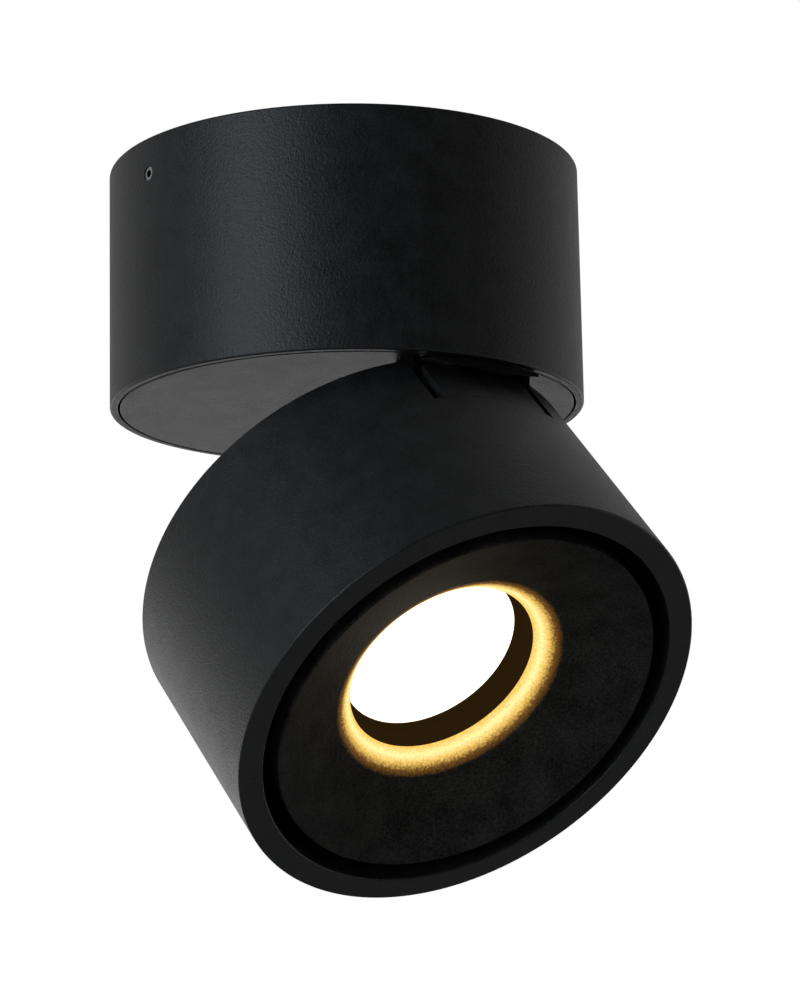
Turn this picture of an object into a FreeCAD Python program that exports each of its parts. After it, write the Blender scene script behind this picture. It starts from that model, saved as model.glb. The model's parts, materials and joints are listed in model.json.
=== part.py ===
"""Surface mounted ceiling spotlight: a round can under the ceiling, a turntable in its underside, and a round head
that folds open on a hinge at its rear corner.

Frame: origin at the centre of the ceiling face, +Z up, the hinge towards -Y, its axis along X. The head's pieces
are drawn in the head's own frame (origin at the centre of its back face, +Z up while it is closed) and carried to
the opened pose by one placement.
"""
import FreeCAD
import Part
import math
import os
import Sketcher

# ---------------------------------------------------------------------------------------------------------------
# Driving dimensions, millimetres and degrees.
# ---------------------------------------------------------------------------------------------------------------
DIMENSIONS = {
    # can and ceiling plate
    "can_radius": 50.0,
    "can_height": 51.0,
    "can_wall": 2.4,
    "lip_width": 1.7,
    "edge_break": 0.45,
    "overcut": 1.0,
    "web_thickness": 3.0,
    "plate_thickness": 1.5,
    "plate_gap": 0.4,
    "tab_height": 12.5,
    "tab_width": 16.0,
    "grub_radius": 1.5,
    "grub_length": 5.5,
    "grub_socket_depth": 1.2,
    "grub_set_back": 0.25,
    "grub_drop": 7.75,
    "grub_socket_share": 0.55,
    "grub_bevel_share": 0.15,
    "slot_spacing": 60.0,
    "slot_width": 4.5,
    "slot_length": 12.0,
    "supply_hole_radius": 9.0,
    "supply_hole_offset": 22.0,
    # driver and terminals
    "driver_clearance": 1.6,
    "driver_width": 23.0,
    "driver_height": 20.0,
    "driver_wall": 1.3,
    "driver_offset": 9.2,
    "flange_reach": 6.5,
    "flange_place_share": 0.3,
    "board_thickness": 1.6,
    "board_gap": 0.4,
    "board_lift": 1.5,
    "transformer_side": 16.0,
    "transformer_height": 9.0,
    "capacitor_radius": 4.0,
    "capacitor_height": 10.0,
    "choke_radius": 5.0,
    "component_place_share": 0.5,
    "filter_place_share": 0.75,
    "filter_radius": 2.8,
    "vent_count": 4,
    "vent_width": 1.4,
    "terminal_length": 24.0,
    "terminal_width": 13.0,
    "terminal_height": 14.0,
    "terminal_offset": 18.0,
    "pole_count": 3,
    "terminal_screw_radius": 2.0,
    "terminal_screw_depth": 6.0,
    "terminal_mouth": 4.0,
    "terminal_mouth_radius": 1.6,
    "terminal_level_share": 0.35,
    "terminal_screw_sink": 1.5,
    "earth_spacing": 13.0,
    "earth_tag_radius": 4.0,
    "lead_radius": 1.2,
    "lead_lift": 1.6,
    "lead_gap": 0.5,
    "output_loop_height": 9.0,
    "core_radius": 1.0,
    "lead_level_share": 0.55,
    "line_place_share": 0.6,
    "neutral_place_share": 0.36,
    "output_place_share": 0.5,
    "lead_bend_share": 0.45,
    "lead_meeting_drop": 1.5,
    "lead_start_share": 0.72,
    "lead_rise_share": 0.33,
    # turntable
    "disc_gap": 0.4,
    "disc_thickness": 3.0,
    "chamber_depth": 8.0,
    "hub_radius": 14.0,
    "pivot_radius": 5.0,
    "pivot_bore": 3.2,
    "pivot_projection": 2.0,
    "pivot_flange_radius": 8.0,
    "pivot_flange_thickness": 1.5,
    "running_gap": 0.05,
    "loose_gap": 0.4,
    "hub_bridge": 1.2,
    "thrust_thickness": 0.8,
    "washer_thickness": 1.0,
    "wave_thickness": 0.8,
    "wave_step": 0.3,
    "nut_flats": 14.0,
    "nut_height": 4.0,
    "stop_ring_radius": 30.0,
    "stop_pin_radius": 1.5,
    "stop_pin_drop": 3.0,
    "stop_post_height": 7.0,
    # hinge
    "hinge_inset": 7.0,
    "hinge_drop": 9.9,
    "closed_gap": 1.0,
    "tilt_open_angle": 43.0,
    "yoke_half_width": 15.0,
    "ear_thickness": 1.6,
    "ear_set_back": 0.4,
    "ear_root_run": 6.4,
    "yoke_base_thickness": 2.0,
    "yoke_face_inset": 7.4,
    "yoke_base_run": 11.6,
    "yoke_screw_x": 9.0,
    "yoke_screw_inset": 3.5,
    "axle_radius": 2.0,
    "axle_head_radius": 3.0,
    "axle_head_height": 0.7,
    "friction_washer": 0.5,
    "side_gap": 0.1,
    "notch_gap": 0.3,
    "corner_gap": 0.5,
    "lead_exit_run": 5.6,
    "grommet_radius": 3.0,
    "grommet_flange_radius": 4.2,
    "grommet_flange_thickness": 0.6,
    # head casing
    "head_height": 50.0,
    "rim_width": 5.2,
    "back_thickness": 3.0,
    "knuckle_flange_width": 22.0,
    "knuckle_flange_run": 14.8,
    "knuckle_flange_thickness": 4.0,
    "knuckle_screw_offset": 7.5,
    "knuckle_screw_inset": 4.0,
    # heat sink
    "sink_gap": 0.3,
    "sink_clearance": 0.8,
    "sink_base": 4.0,
    "sink_core_radius": 11.0,
    "fin_inner": 10.0,
    "fin_inset": 10.5,
    "fin_thickness": 1.6,
    "fin_gap": 2.0,
    "fin_count": 18,
    "post_inset": 6.5,
    "post_radius": 3.6,
    "post_thread": 8.0,
    "post_count": 3,
    "sink_lead_hole": 3.2,
    "sink_lead_shift": 1.0,
    # light engine
    "cob_side": 19.0,
    "cob_thickness": 1.0,
    "phosphor_radius": 6.5,
    "phosphor_thickness": 0.5,
    "holder_radius": 20.0,
    "holder_thickness": 2.6,
    "holder_window": 8.0,
    "holder_screw_x": 16.0,
    "reflector_wall": 1.0,
    "reflector_throat": 8.6,
    "reflector_flange_width": 2.6,
    "diffuser_radius": 23.0,
    "diffuser_thickness": 1.5,
    "diffuser_depth": 19.0,
    # baffle trim
    "groove_width": 3.4,
    "trim_recess": 0.3,
    "trim_wall": 1.6,
    "throat_radius": 20.4,
    "throat_round": 3.0,
    "funnel_angle": 28.0,
    "lug_inset": 2.6,
    "lug_radius": 3.0,
    "lug_height": 8.0,
    # screws
    "screw_radius": 1.5,
    "screw_head_radius": 2.8,
    "screw_head_height": 1.7,
    "screw_head_rim": 0.3,
    "screw_socket": 0.9,
    "screw_recess_share": 0.6,
    "screw_end_gap": 1.0,
}

doc = FreeCAD.newDocument("CeilingSpotlight")
sheet = doc.addObject("Spreadsheet::Sheet", "Sizes")
for row, (name, number) in enumerate(DIMENSIONS.items(), start=1):
    sheet.set(f"A{row}", name)
    sheet.set(f"B{row}", str(number))
    sheet.setAlias(f"B{row}", name)
doc.recompute()


class Size:
    """A size with its present value and the sheet formula that it follows."""

    def __init__(self, value, text):
        self.value = float(value)
        self.text = text

    @staticmethod
    def of(other):
        return other if isinstance(other, Size) else Size(other, repr(other))

    def __add__(self, other):
        other = Size.of(other)
        return Size(self.value + other.value, f"({self.text} + {other.text})")

    def __radd__(self, other):
        return Size.of(other) + self

    def __sub__(self, other):
        other = Size.of(other)
        return Size(self.value - other.value, f"({self.text} - {other.text})")

    def __rsub__(self, other):
        return Size.of(other) - self

    def __mul__(self, other):
        other = Size.of(other)
        return Size(self.value * other.value, f"({self.text} * {other.text})")

    __rmul__ = __mul__

    def __truediv__(self, other):
        other = Size.of(other)
        return Size(self.value / other.value, f"({self.text} / {other.text})")

    def __neg__(self):
        return Size(-self.value, f"(0 - {self.text})")


def root_of(size):
    return Size(math.sqrt(size.value), f"sqrt({size.text})")


def sine(angle):
    return Size(math.sin(math.radians(angle.value)), f"sin({angle.text})")


def cosine(angle):
    return Size(math.cos(math.radians(angle.value)), f"cos({angle.text})")


def round_places(radius, count, first_angle):
    """Places evenly round the axis at a radius, the first at an angle from +X."""
    places = []
    for k in range(round(count.value)):
        angle = Size(first_angle, str(first_angle)) + Size(360 * k, str(360 * k)) / count
        places.append((radius * cosine(angle), radius * sine(angle)))
    return places


class Sheet:
    """Reads the driving dimensions by name."""

    def __getattr__(self, name):
        return Size(sheet.get(name), f"Sizes.{name}")


S = Sheet()
ZERO = Size(0, "0")


def bind(target, path, size):
    """Make one property follow the sheet."""
    target.setExpression(path, Size.of(size).text)


# ---------------------------------------------------------------------------------------------------------------
# Outlines: each adds its geometry and its driving constraints to a sketch.
# ---------------------------------------------------------------------------------------------------------------
def drive(sketch, size, kind, *elements):
    """Add a driving constraint that follows the sheet."""
    size = Size.of(size)
    index = sketch.addConstraint(Sketcher.Constraint(kind, *elements, size.value))
    bind(sketch, f"Constraints[{index}]", size)


def pin_point(sketch, geometry, position, x, y):
    """Fix one sketch point by its two driving distances from the origin."""
    drive(sketch, x, "DistanceX", -1, 1, geometry, position)
    drive(sketch, y, "DistanceY", -1, 1, geometry, position)


class Circle:
    def __init__(self, x, y, radius):
        self.x, self.y, self.radius = Size.of(x), Size.of(y), Size.of(radius)

    def draw(self, sketch):
        centre = FreeCAD.Vector(self.x.value, self.y.value, 0)
        index = sketch.addGeometry(Part.Circle(centre, FreeCAD.Vector(0, 0, 1), self.radius.value))
        pin_point(sketch, index, 3, self.x, self.y)
        drive(sketch, self.radius, "Radius", index)


class Outline:
    """A closed outline through points; a point (x, y, radius) starts an arc that bulges to the right of its way."""

    def __init__(self, *points):
        self.corners = [(Size.of(point[0]), Size.of(point[1])) for point in points]
        self.radii = [Size.of(point[2]) if len(point) == 3 else None for point in points]

    def draw(self, sketch):
        places = [FreeCAD.Vector(x.value, y.value, 0) for x, y in self.corners]
        following = places[1:] + places[:1]
        pieces = [sketch.addGeometry(self.curve(*ends)) for ends in zip(places, following, self.radii)]
        for k, piece in enumerate(pieces):
            after = (k + 1) % len(pieces)
            sketch.addConstraint(Sketcher.Constraint("Coincident", piece, 2, pieces[after], 1))
            pin_point(sketch, piece, 1, *self.corners[k])
            if self.radii[k]:
                drive(sketch, self.radii[k], "Radius", piece)

    @staticmethod
    def curve(start, end, radius):
        if radius is None:
            return Part.LineSegment(start, end)
        half_chord = start.distanceToPoint(end) / 2
        bulge = radius.value - math.sqrt(max(radius.value ** 2 - half_chord ** 2, 0))
        right = FreeCAD.Vector(end.y - start.y, start.x - end.x, 0).normalize()
        return Part.Arc(start, (start + end) * 0.5 + right * bulge, end)


def rectangle(x0, x1, y0, y1):
    return Outline((x0, y0), (x1, y0), (x1, y1), (x0, y1))


class Slot:
    """A slot along the sketch's X direction, centred at (x, y)."""

    def __init__(self, x, y, length, width):
        half_straight = (length - width) / 2
        self.left, self.right = x - half_straight, x + half_straight
        self.y, self.radius = y, width / 2

    def draw(self, sketch):
        left, right, y, radius = (size.value for size in (self.left, self.right, Size.of(self.y), self.radius))
        corners = [(left, y - radius), (right, y - radius), (right, y + radius), (left, y + radius)]
        places = [FreeCAD.Vector(*corner, 0) for corner in corners]
        tips = [FreeCAD.Vector(right + radius, y, 0), FreeCAD.Vector(left - radius, y, 0)]
        pieces = [
            sketch.addGeometry(Part.LineSegment(places[0], places[1])),
            sketch.addGeometry(Part.Arc(places[1], tips[0], places[2])),
            sketch.addGeometry(Part.LineSegment(places[2], places[3])),
            sketch.addGeometry(Part.Arc(places[3], tips[1], places[0])),
        ]
        for k, (piece, x) in enumerate(zip(pieces, (self.left, self.right, self.right, self.left))):
            sketch.addConstraint(Sketcher.Constraint("Coincident", piece, 2, pieces[(k + 1) % 4], 1))
            drive(sketch, x, "DistanceX", -1, 1, piece, 1)
        for piece, x in ((pieces[1], self.right), (pieces[3], self.left)):
            pin_point(sketch, piece, 3, x, self.y)
            drive(sketch, self.radius, "Radius", piece)


# ---------------------------------------------------------------------------------------------------------------
# Pieces: a body with the features that shape it.
# ---------------------------------------------------------------------------------------------------------------
PIECES = []


class Piece:
    """One physical piece of the light, or one group of identical fasteners."""

    def __init__(self, label, in_head=False):
        self.body = doc.addObject("PartDesign::Body", label)
        self.body.Label = label
        self.label = label
        if in_head:
            carry_with_head(self.body)
        PIECES.append(self.body)

    def plane(self, role):
        return [feature for feature in self.body.Origin.OriginFeatures if feature.Role == role][0]

    def sketch(self, plane, outlines, shift=ZERO, centre=(ZERO, ZERO)):
        """Draw outlines on a plane of the body's origin, moved along its normal by shift."""
        drawing = self.body.newObject("Sketcher::SketchObject", f"{self.label}_outline")
        drawing.AttachmentSupport = [(self.plane(plane), "")]
        drawing.MapMode = "FlatFace"
        bind(drawing, "AttachmentOffset.Base.x", centre[0])
        bind(drawing, "AttachmentOffset.Base.y", centre[1])
        bind(drawing, "AttachmentOffset.Base.z", shift)
        for outline in outlines:
            outline.draw(drawing)
        return drawing

    def feature(self, kind, drawing):
        """Add a feature on a drawing and make it the body's tip."""
        before = self.volume()
        made = self.body.newObject(f"PartDesign::{kind}", f"{self.label}_{kind.lower()}")
        made.Profile = drawing
        self.body.Tip = made
        return made, before

    def volume(self):
        return self.body.Shape.Volume if self.body.Tip and not self.body.Shape.isNull() else 0.0

    def confirm(self, made, before, removes):
        """Recompute and make sure that the feature added or removed material."""
        doc.recompute()
        change = self.volume() - before
        if abs(change) < 1e-6 or (change < 0) != removes:
            raise RuntimeError(f"{self.label}: {made.Name} changed the volume by {change:.4f}")
        return made

    def revolve(self, *outlines, at=(ZERO, ZERO)):
        """Turn outlines (radius, height) once about the vertical line through a place (x, y)."""
        drawing = self.sketch("XZ_Plane", outlines, shift=-Size.of(at[1]), centre=(at[0], ZERO))
        made, before = self.feature("Revolution", drawing)
        made.ReferenceAxis = (drawing, ["V_Axis"])
        made.Angle = 360
        return self.confirm(made, before, False)

    def groove(self, outline, at=(ZERO, ZERO)):
        """Cut by turning an outline (radius, height) once about the vertical line through a place (x, y)."""
        drawing = self.sketch("XZ_Plane", [outline], shift=-Size.of(at[1]), centre=(at[0], ZERO))
        made, before = self.feature("Groove", drawing)
        made.ReferenceAxis = (drawing, ["V_Axis"])
        made.Angle = 360
        return self.confirm(made, before, True)

    def turn_along_x(self, outline, height, reach=ZERO):
        """Turn an outline (x, radius) about a line along X, at a height and at a reach towards -Y."""
        drawing = self.sketch("XZ_Plane", [outline], shift=reach, centre=(ZERO, height))
        made, before = self.feature("Revolution", drawing)
        made.ReferenceAxis = (drawing, ["H_Axis"])
        made.Angle = 360
        return self.confirm(made, before, False)

    def pad(self, *outlines, bottom=ZERO, length, plane="XY_Plane", both_ways=False):
        drawing = self.sketch(plane, outlines, shift=bottom)
        made, before = self.feature("Pad", drawing)
        bind(made, "Length", length)
        made.Midplane = both_ways
        return self.confirm(made, before, False)

    def pocket(self, *outlines, bottom=ZERO, length, plane="XY_Plane", both_ways=False):
        """Cut upwards from the bottom level, or both ways from the plane."""
        drawing = self.sketch(plane, outlines, shift=bottom)
        made, before = self.feature("Pocket", drawing)
        bind(made, "Length", length)
        made.Midplane = both_ways
        made.Reversed = not both_ways
        return self.confirm(made, before, True)

    def repeat(self, features, count):
        """Repeat features evenly about the vertical axis through the origin."""
        before = self.volume()
        pattern = self.body.newObject("PartDesign::PolarPattern", f"{self.label}_pattern")
        pattern.Originals = features
        pattern.Axis = (self.plane("Z_Axis"), [""])
        pattern.Angle = 360
        bind(pattern, "Occurrences", count)
        self.body.Tip = pattern
        doc.recompute()
        if abs(self.volume() - before) < 1e-6:
            raise RuntimeError(f"{self.label}: the pattern changed nothing")
        return pattern

    def mirror(self, features):
        """Repeat features on the other side of the YZ plane."""
        before = self.volume()
        mirrored = self.body.newObject("PartDesign::Mirrored", f"{self.label}_mirrored")
        mirrored.Originals = features
        mirrored.MirrorPlane = (self.plane("YZ_Plane"), [""])
        self.body.Tip = mirrored
        doc.recompute()
        if abs(self.volume() - before) < 1e-6:
            raise RuntimeError(f"{self.label}: the mirror changed nothing")
        return mirrored


# ---------------------------------------------------------------------------------------------------------------
# Levels and radii that several pieces share, worked out from the driving dimensions.
# ---------------------------------------------------------------------------------------------------------------
CAN_BOTTOM = -S.can_height
RECESS_RADIUS = S.can_radius - S.lip_width
DISC_RADIUS = RECESS_RADIUS - S.disc_gap
DISC_TOP = CAN_BOTTOM + S.disc_thickness
WEB_BOTTOM = DISC_TOP + S.chamber_depth
WEB_TOP = WEB_BOTTOM + S.web_thickness
HUB_TOP = WEB_BOTTOM - S.thrust_thickness
CAN_INSIDE = S.can_radius - S.can_wall
PLATE_RADIUS = CAN_INSIDE - S.plate_gap
NUT_BOTTOM = WEB_TOP + S.running_gap + S.washer_thickness + S.wave_thickness
PIVOT_TOP = NUT_BOTTOM + S.nut_height + S.pivot_projection

DRIVER_REAR = S.driver_offset + S.driver_width
DRIVER_REACH = CAN_INSIDE - S.driver_clearance
DRIVER_HALF = root_of(DRIVER_REACH * DRIVER_REACH - DRIVER_REAR * DRIVER_REAR)
DRIVER_SCREW_X = DRIVER_HALF + S.flange_reach / 2
DRIVER_SCREW_Y = S.driver_offset + S.driver_width * S.flange_place_share
DRIVER_SCREWS = [(-DRIVER_SCREW_X, DRIVER_SCREW_Y), (DRIVER_SCREW_X, DRIVER_SCREW_Y)]
EARTH_SCREW = (-(S.terminal_length / 2 + S.earth_spacing), -(S.terminal_offset + S.terminal_width / 2))
LEAD_LEVEL = WEB_TOP + S.driver_height * S.lead_level_share
TERMINAL_LEVEL = WEB_TOP + S.terminal_height * S.terminal_level_share
LINE_X = DRIVER_HALF * S.line_place_share
NEUTRAL_X = DRIVER_HALF * S.neutral_place_share
OUTPUT_LEAD_X = -DRIVER_HALF * S.output_place_share
CHAMBER_LEAD_LEVEL = DISC_TOP + S.lead_radius + S.lead_lift
LEAD_MEETING = PIVOT_TOP - S.lead_meeting_drop

HINGE_REACH = S.can_radius - S.hinge_inset
HINGE_Y = -HINGE_REACH
HINGE_Z = CAN_BOTTOM - S.hinge_drop
AXIS_BELOW_BACK = S.hinge_drop - S.closed_gap
EAR_REACH = S.can_radius - S.ear_set_back
EAR_RADIUS = root_of(EAR_REACH * EAR_REACH - S.yoke_half_width * S.yoke_half_width) - HINGE_REACH
YOKE_FACE = S.can_radius - S.yoke_face_inset
EAR_ROOT = HINGE_REACH - S.ear_root_run
YOKE_BASE_INNER = EAR_ROOT - S.yoke_base_run
YOKE_SCREW_Y = -(YOKE_BASE_INNER + S.yoke_screw_inset)
YOKE_SCREWS = [(-S.yoke_screw_x, YOKE_SCREW_Y), (S.yoke_screw_x, YOKE_SCREW_Y)]
LEAD_EXIT = EAR_ROOT - S.lead_exit_run
EAR_INNER = S.yoke_half_width - S.ear_thickness
KNUCKLE_HALF = EAR_INNER - S.friction_washer - 2 * S.side_gap
NOTCH_HALF = S.yoke_half_width + S.notch_gap
NOTCH_INNER = EAR_ROOT - S.notch_gap
NOTCH_FLOOR = -(AXIS_BELOW_BACK + EAR_RADIUS + S.notch_gap)
CORNER_RADIUS = S.hinge_drop - S.corner_gap
KNUCKLE_FLANGE_INNER = NOTCH_INNER - S.knuckle_flange_run
KNUCKLE_SCREW_Y = -(KNUCKLE_FLANGE_INNER + S.knuckle_screw_inset)
KNUCKLE_SCREWS = [(-S.knuckle_screw_offset, KNUCKLE_SCREW_Y), (S.knuckle_screw_offset, KNUCKLE_SCREW_Y)]

HEAD_RADIUS = S.can_radius
CASING_INSIDE = HEAD_RADIUS - S.rim_width
FACE = -S.head_height
BACK_INSIDE = -S.back_thickness
SINK_BACK = NOTCH_FLOOR - S.sink_clearance
SINK_FRONT = SINK_BACK - S.sink_base
SINK_RADIUS = CASING_INSIDE - S.sink_gap
FIN_HEIGHT = BACK_INSIDE - S.fin_gap - SINK_BACK
FIN_OUTER = SINK_RADIUS - S.fin_inset
TRIM_RADIUS = CASING_INSIDE - S.groove_width
TRIM_FRONT = FACE + S.trim_recess
DIFFUSER_FRONT = FACE + S.diffuser_depth
DIFFUSER_BACK = DIFFUSER_FRONT + S.diffuser_thickness
COB_FRONT = SINK_FRONT - S.cob_thickness
HOLDER_FRONT = SINK_FRONT - S.holder_thickness
POST_PLACES = round_places(SINK_RADIUS - S.post_inset, S.post_count, 90)
LUG_PLACES = round_places(TRIM_RADIUS - S.trim_wall - S.lug_inset, S.post_count, 30)


def carry_with_head(target):
    """Place a piece drawn in the head's frame where the opened head carries it."""
    opening = S.tilt_open_angle
    target.Placement.Rotation = FreeCAD.Rotation(FreeCAD.Vector(1, 0, 0), -opening.value)
    reach, below = HINGE_REACH, AXIS_BELOW_BACK
    bind(target, "Placement.Rotation.Angle", -opening)
    bind(target, "Placement.Base.y", HINGE_Y + reach * cosine(opening) + below * sine(opening))
    bind(target, "Placement.Base.z", HINGE_Z - reach * sine(opening) + below * cosine(opening))


# ---------------------------------------------------------------------------------------------------------------
# Fasteners, washers and leads.
# ---------------------------------------------------------------------------------------------------------------
def screw_outline(head_level, length, points_down=True, countersunk=True):
    """Half section of a screw: a countersunk or cheese head with a recess, and a shank."""
    way = -1 if points_down else 1
    end = head_level + way * length
    under_head = head_level + way * S.screw_head_height
    recess = head_level + way * S.screw_head_height * S.screw_recess_share
    points = [
        (S.screw_socket, head_level),
        (S.screw_head_radius, head_level),
        (S.screw_head_radius, head_level + way * S.screw_head_rim),
    ]
    if not countersunk:
        points.append((S.screw_head_radius, under_head))
    points += [
        (S.screw_radius, under_head),
        (S.screw_radius, end),
        (ZERO, end),
        (ZERO, recess),
        (S.screw_socket, recess),
    ]
    return Outline(*points)


def screw_hole(piece, place, face_level, through):
    """Cut a countersunk screw hole down from a face."""
    clear = S.screw_radius + S.running_gap
    wide = S.screw_head_radius + S.running_gap
    rim = face_level - S.screw_head_rim - S.running_gap
    sink = face_level - S.screw_head_height - S.running_gap
    far = face_level - through
    return piece.groove(Outline(
        (ZERO, face_level), (wide, face_level), (wide, rim), (clear, sink), (clear, far), (ZERO, far),
    ), at=place)


def lead_shape(label, points, radius):
    """A round lead along straight runs joined by tangent arcs, the arcs nearly as large as the runs allow."""
    places = [FreeCAD.Vector(*[Size.of(value).value for value in point]) for point in points]
    edges = []
    last = places[0]
    for before, corner, after in zip(places, places[1:], places[2:]):
        inwards, outwards = (corner - before).normalize(), (after - corner).normalize()
        turn = inwards.getAngle(outwards)
        reach = S.lead_bend_share.value * min(before.distanceToPoint(corner), corner.distanceToPoint(after))
        bend = reach / math.tan(turn / 2)
        start, end = corner - inwards * reach, corner + outwards * reach
        middle = corner + (outwards - inwards).normalize() * (bend / math.cos(turn / 2) - bend)
        edges.append(Part.LineSegment(last, start).toShape())
        edges.append(Part.Arc(start, middle, end).toShape())
        last = end
    edges.append(Part.LineSegment(last, places[-1]).toShape())
    path = Part.Wire(edges)
    section = Part.Wire(Part.Circle(places[0], (places[1] - places[0]).normalize(), radius.value).toShape())
    tube = path.makePipeShell([section], True, False)
    expected = math.pi * radius.value ** 2 * path.Length
    if abs(tube.Volume / expected - 1) > 0.01:
        raise RuntimeError(f"{label}: volume {tube.Volume:.1f} for {expected:.1f}")
    return tube


def leads(label, routes, radius, in_head=False):
    """A piece made of one or more finished leads."""
    shapes = [lead_shape(label, route, radius) for route in routes]
    piece = doc.addObject("Part::Feature", label)
    piece.Label = label
    piece.Shape = shapes[0] if len(shapes) == 1 else Part.makeCompound(shapes)
    if in_head:
        carry_with_head(piece)
    PIECES.append(piece)


# ---------------------------------------------------------------------------------------------------------------
# Ceiling side
# ---------------------------------------------------------------------------------------------------------------
def build_canopy_housing():
    """The can: an outer wall, a web that carries the driver and the pivot, and the recess for the turntable."""
    piece = Piece("canopy_housing")
    bevel = S.edge_break
    bore = S.pivot_radius + S.running_gap
    piece.revolve(Outline(
        (CAN_INSIDE, ZERO), (S.can_radius - bevel, ZERO), (S.can_radius, -bevel),
        (S.can_radius, CAN_BOTTOM + bevel), (S.can_radius - bevel, CAN_BOTTOM),
        (RECESS_RADIUS + bevel / 2, CAN_BOTTOM), (RECESS_RADIUS, CAN_BOTTOM + bevel / 2),
        (RECESS_RADIUS, WEB_BOTTOM), (bore, WEB_BOTTOM), (bore, WEB_TOP), (CAN_INSIDE, WEB_TOP),
    ))
    piece.pocket(
        Circle(ZERO, -S.grub_drop, S.grub_radius + S.running_gap),
        length=S.can_radius * 2 + S.overcut, plane="YZ_Plane", both_ways=True,
    )
    for place in DRIVER_SCREWS + [EARTH_SCREW]:
        piece.pocket(Circle(*place, S.screw_radius), bottom=WEB_BOTTOM, length=S.web_thickness)
    piece.pocket(
        Circle(-S.stop_ring_radius, ZERO, S.stop_pin_radius), bottom=WEB_BOTTOM, length=S.web_thickness,
    )


def build_ceiling_plate():
    """Round steel plate with a supply hole, two slots, and two turned-down tabs for the grub screws."""
    piece = Piece("ceiling_plate")
    half_spacing = S.slot_spacing / 2
    piece.pad(
        Circle(ZERO, ZERO, PLATE_RADIUS), Circle(ZERO, -S.supply_hole_offset, S.supply_hole_radius),
        Slot(half_spacing, ZERO, S.slot_length, S.slot_width),
        Slot(-half_spacing, ZERO, S.slot_length, S.slot_width),
        bottom=-S.plate_thickness, length=S.plate_thickness,
    )
    half_tab = S.tab_width / 2
    tab_out = root_of(PLATE_RADIUS * PLATE_RADIUS - half_tab * half_tab)
    tab_in = tab_out - S.plate_thickness
    for left, right in ((tab_in, tab_out), (-tab_out, -tab_in)):
        piece.pad(
            rectangle(left, right, -half_tab, half_tab), bottom=-S.tab_height, length=S.tab_height - S.plate_thickness,
        )
    piece.pocket(
        Circle(ZERO, -S.grub_drop, S.grub_radius), length=S.can_radius * 2, plane="YZ_Plane", both_ways=True,
    )


def build_canopy_grub_screws():
    """Two socket grub screws that hold the can on the plate's tabs."""
    piece = Piece("canopy_grub_screws")
    outer = S.can_radius - S.grub_set_back
    inner = outer - S.grub_length
    socket_end = outer - S.grub_socket_depth
    socket = S.grub_radius * S.grub_socket_share
    bevel = S.grub_radius * S.grub_bevel_share
    screw = piece.turn_along_x(Outline(
        (inner, ZERO), (socket_end, ZERO), (socket_end, socket), (outer, socket),
        (outer, S.grub_radius - bevel), (outer - bevel, S.grub_radius), (inner + bevel, S.grub_radius),
        (inner, S.grub_radius - bevel),
    ), -S.grub_drop)
    piece.mirror([screw])


def build_driver_case():
    """Plastic driver tray with two end flanges and its lid with vent slots."""
    front, rear = S.driver_offset, DRIVER_REAR
    wall, fit = S.driver_wall, S.driver_wall + S.running_gap
    rim = WEB_TOP + S.driver_height
    flange_out = DRIVER_HALF + S.flange_reach
    half_flange = S.flange_reach / 2

    tray = Piece("driver_tray")
    tray.pad(
        rectangle(-flange_out, flange_out, DRIVER_SCREW_Y - half_flange, DRIVER_SCREW_Y + half_flange),
        bottom=WEB_TOP, length=wall,
    )
    tray.pad(rectangle(-DRIVER_HALF, DRIVER_HALF, front, rear), bottom=WEB_TOP, length=S.driver_height)
    tray.pocket(
        rectangle(wall - DRIVER_HALF, DRIVER_HALF - wall, front + wall, rear - wall),
        bottom=WEB_TOP + wall, length=S.driver_height,
    )
    for place in DRIVER_SCREWS:
        tray.pocket(Circle(*place, S.screw_radius + S.running_gap), bottom=WEB_TOP, length=wall)
    holes = [Circle(x, LEAD_LEVEL, S.core_radius + S.running_gap) for x in (LINE_X, NEUTRAL_X)]
    holes.append(Circle(OUTPUT_LEAD_X, LEAD_LEVEL, S.lead_radius + S.running_gap))
    tray.pocket(*holes, bottom=-(front + wall), length=wall, plane="XZ_Plane")

    lid = Piece("driver_lid")
    lid.pad(rectangle(-DRIVER_HALF, DRIVER_HALF, front, rear), bottom=rim, length=wall)
    lid.pad(
        rectangle(fit - DRIVER_HALF, DRIVER_HALF - fit, front + fit, rear - fit), bottom=rim - wall, length=wall,
    )
    for k in range(round(S.vent_count.value)):
        vent_y = front + S.driver_width * (k + 1) / (S.vent_count + 1)
        lid.pocket(Slot(ZERO, vent_y, DRIVER_HALF, S.vent_width), bottom=rim - wall, length=wall * 2)


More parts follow.
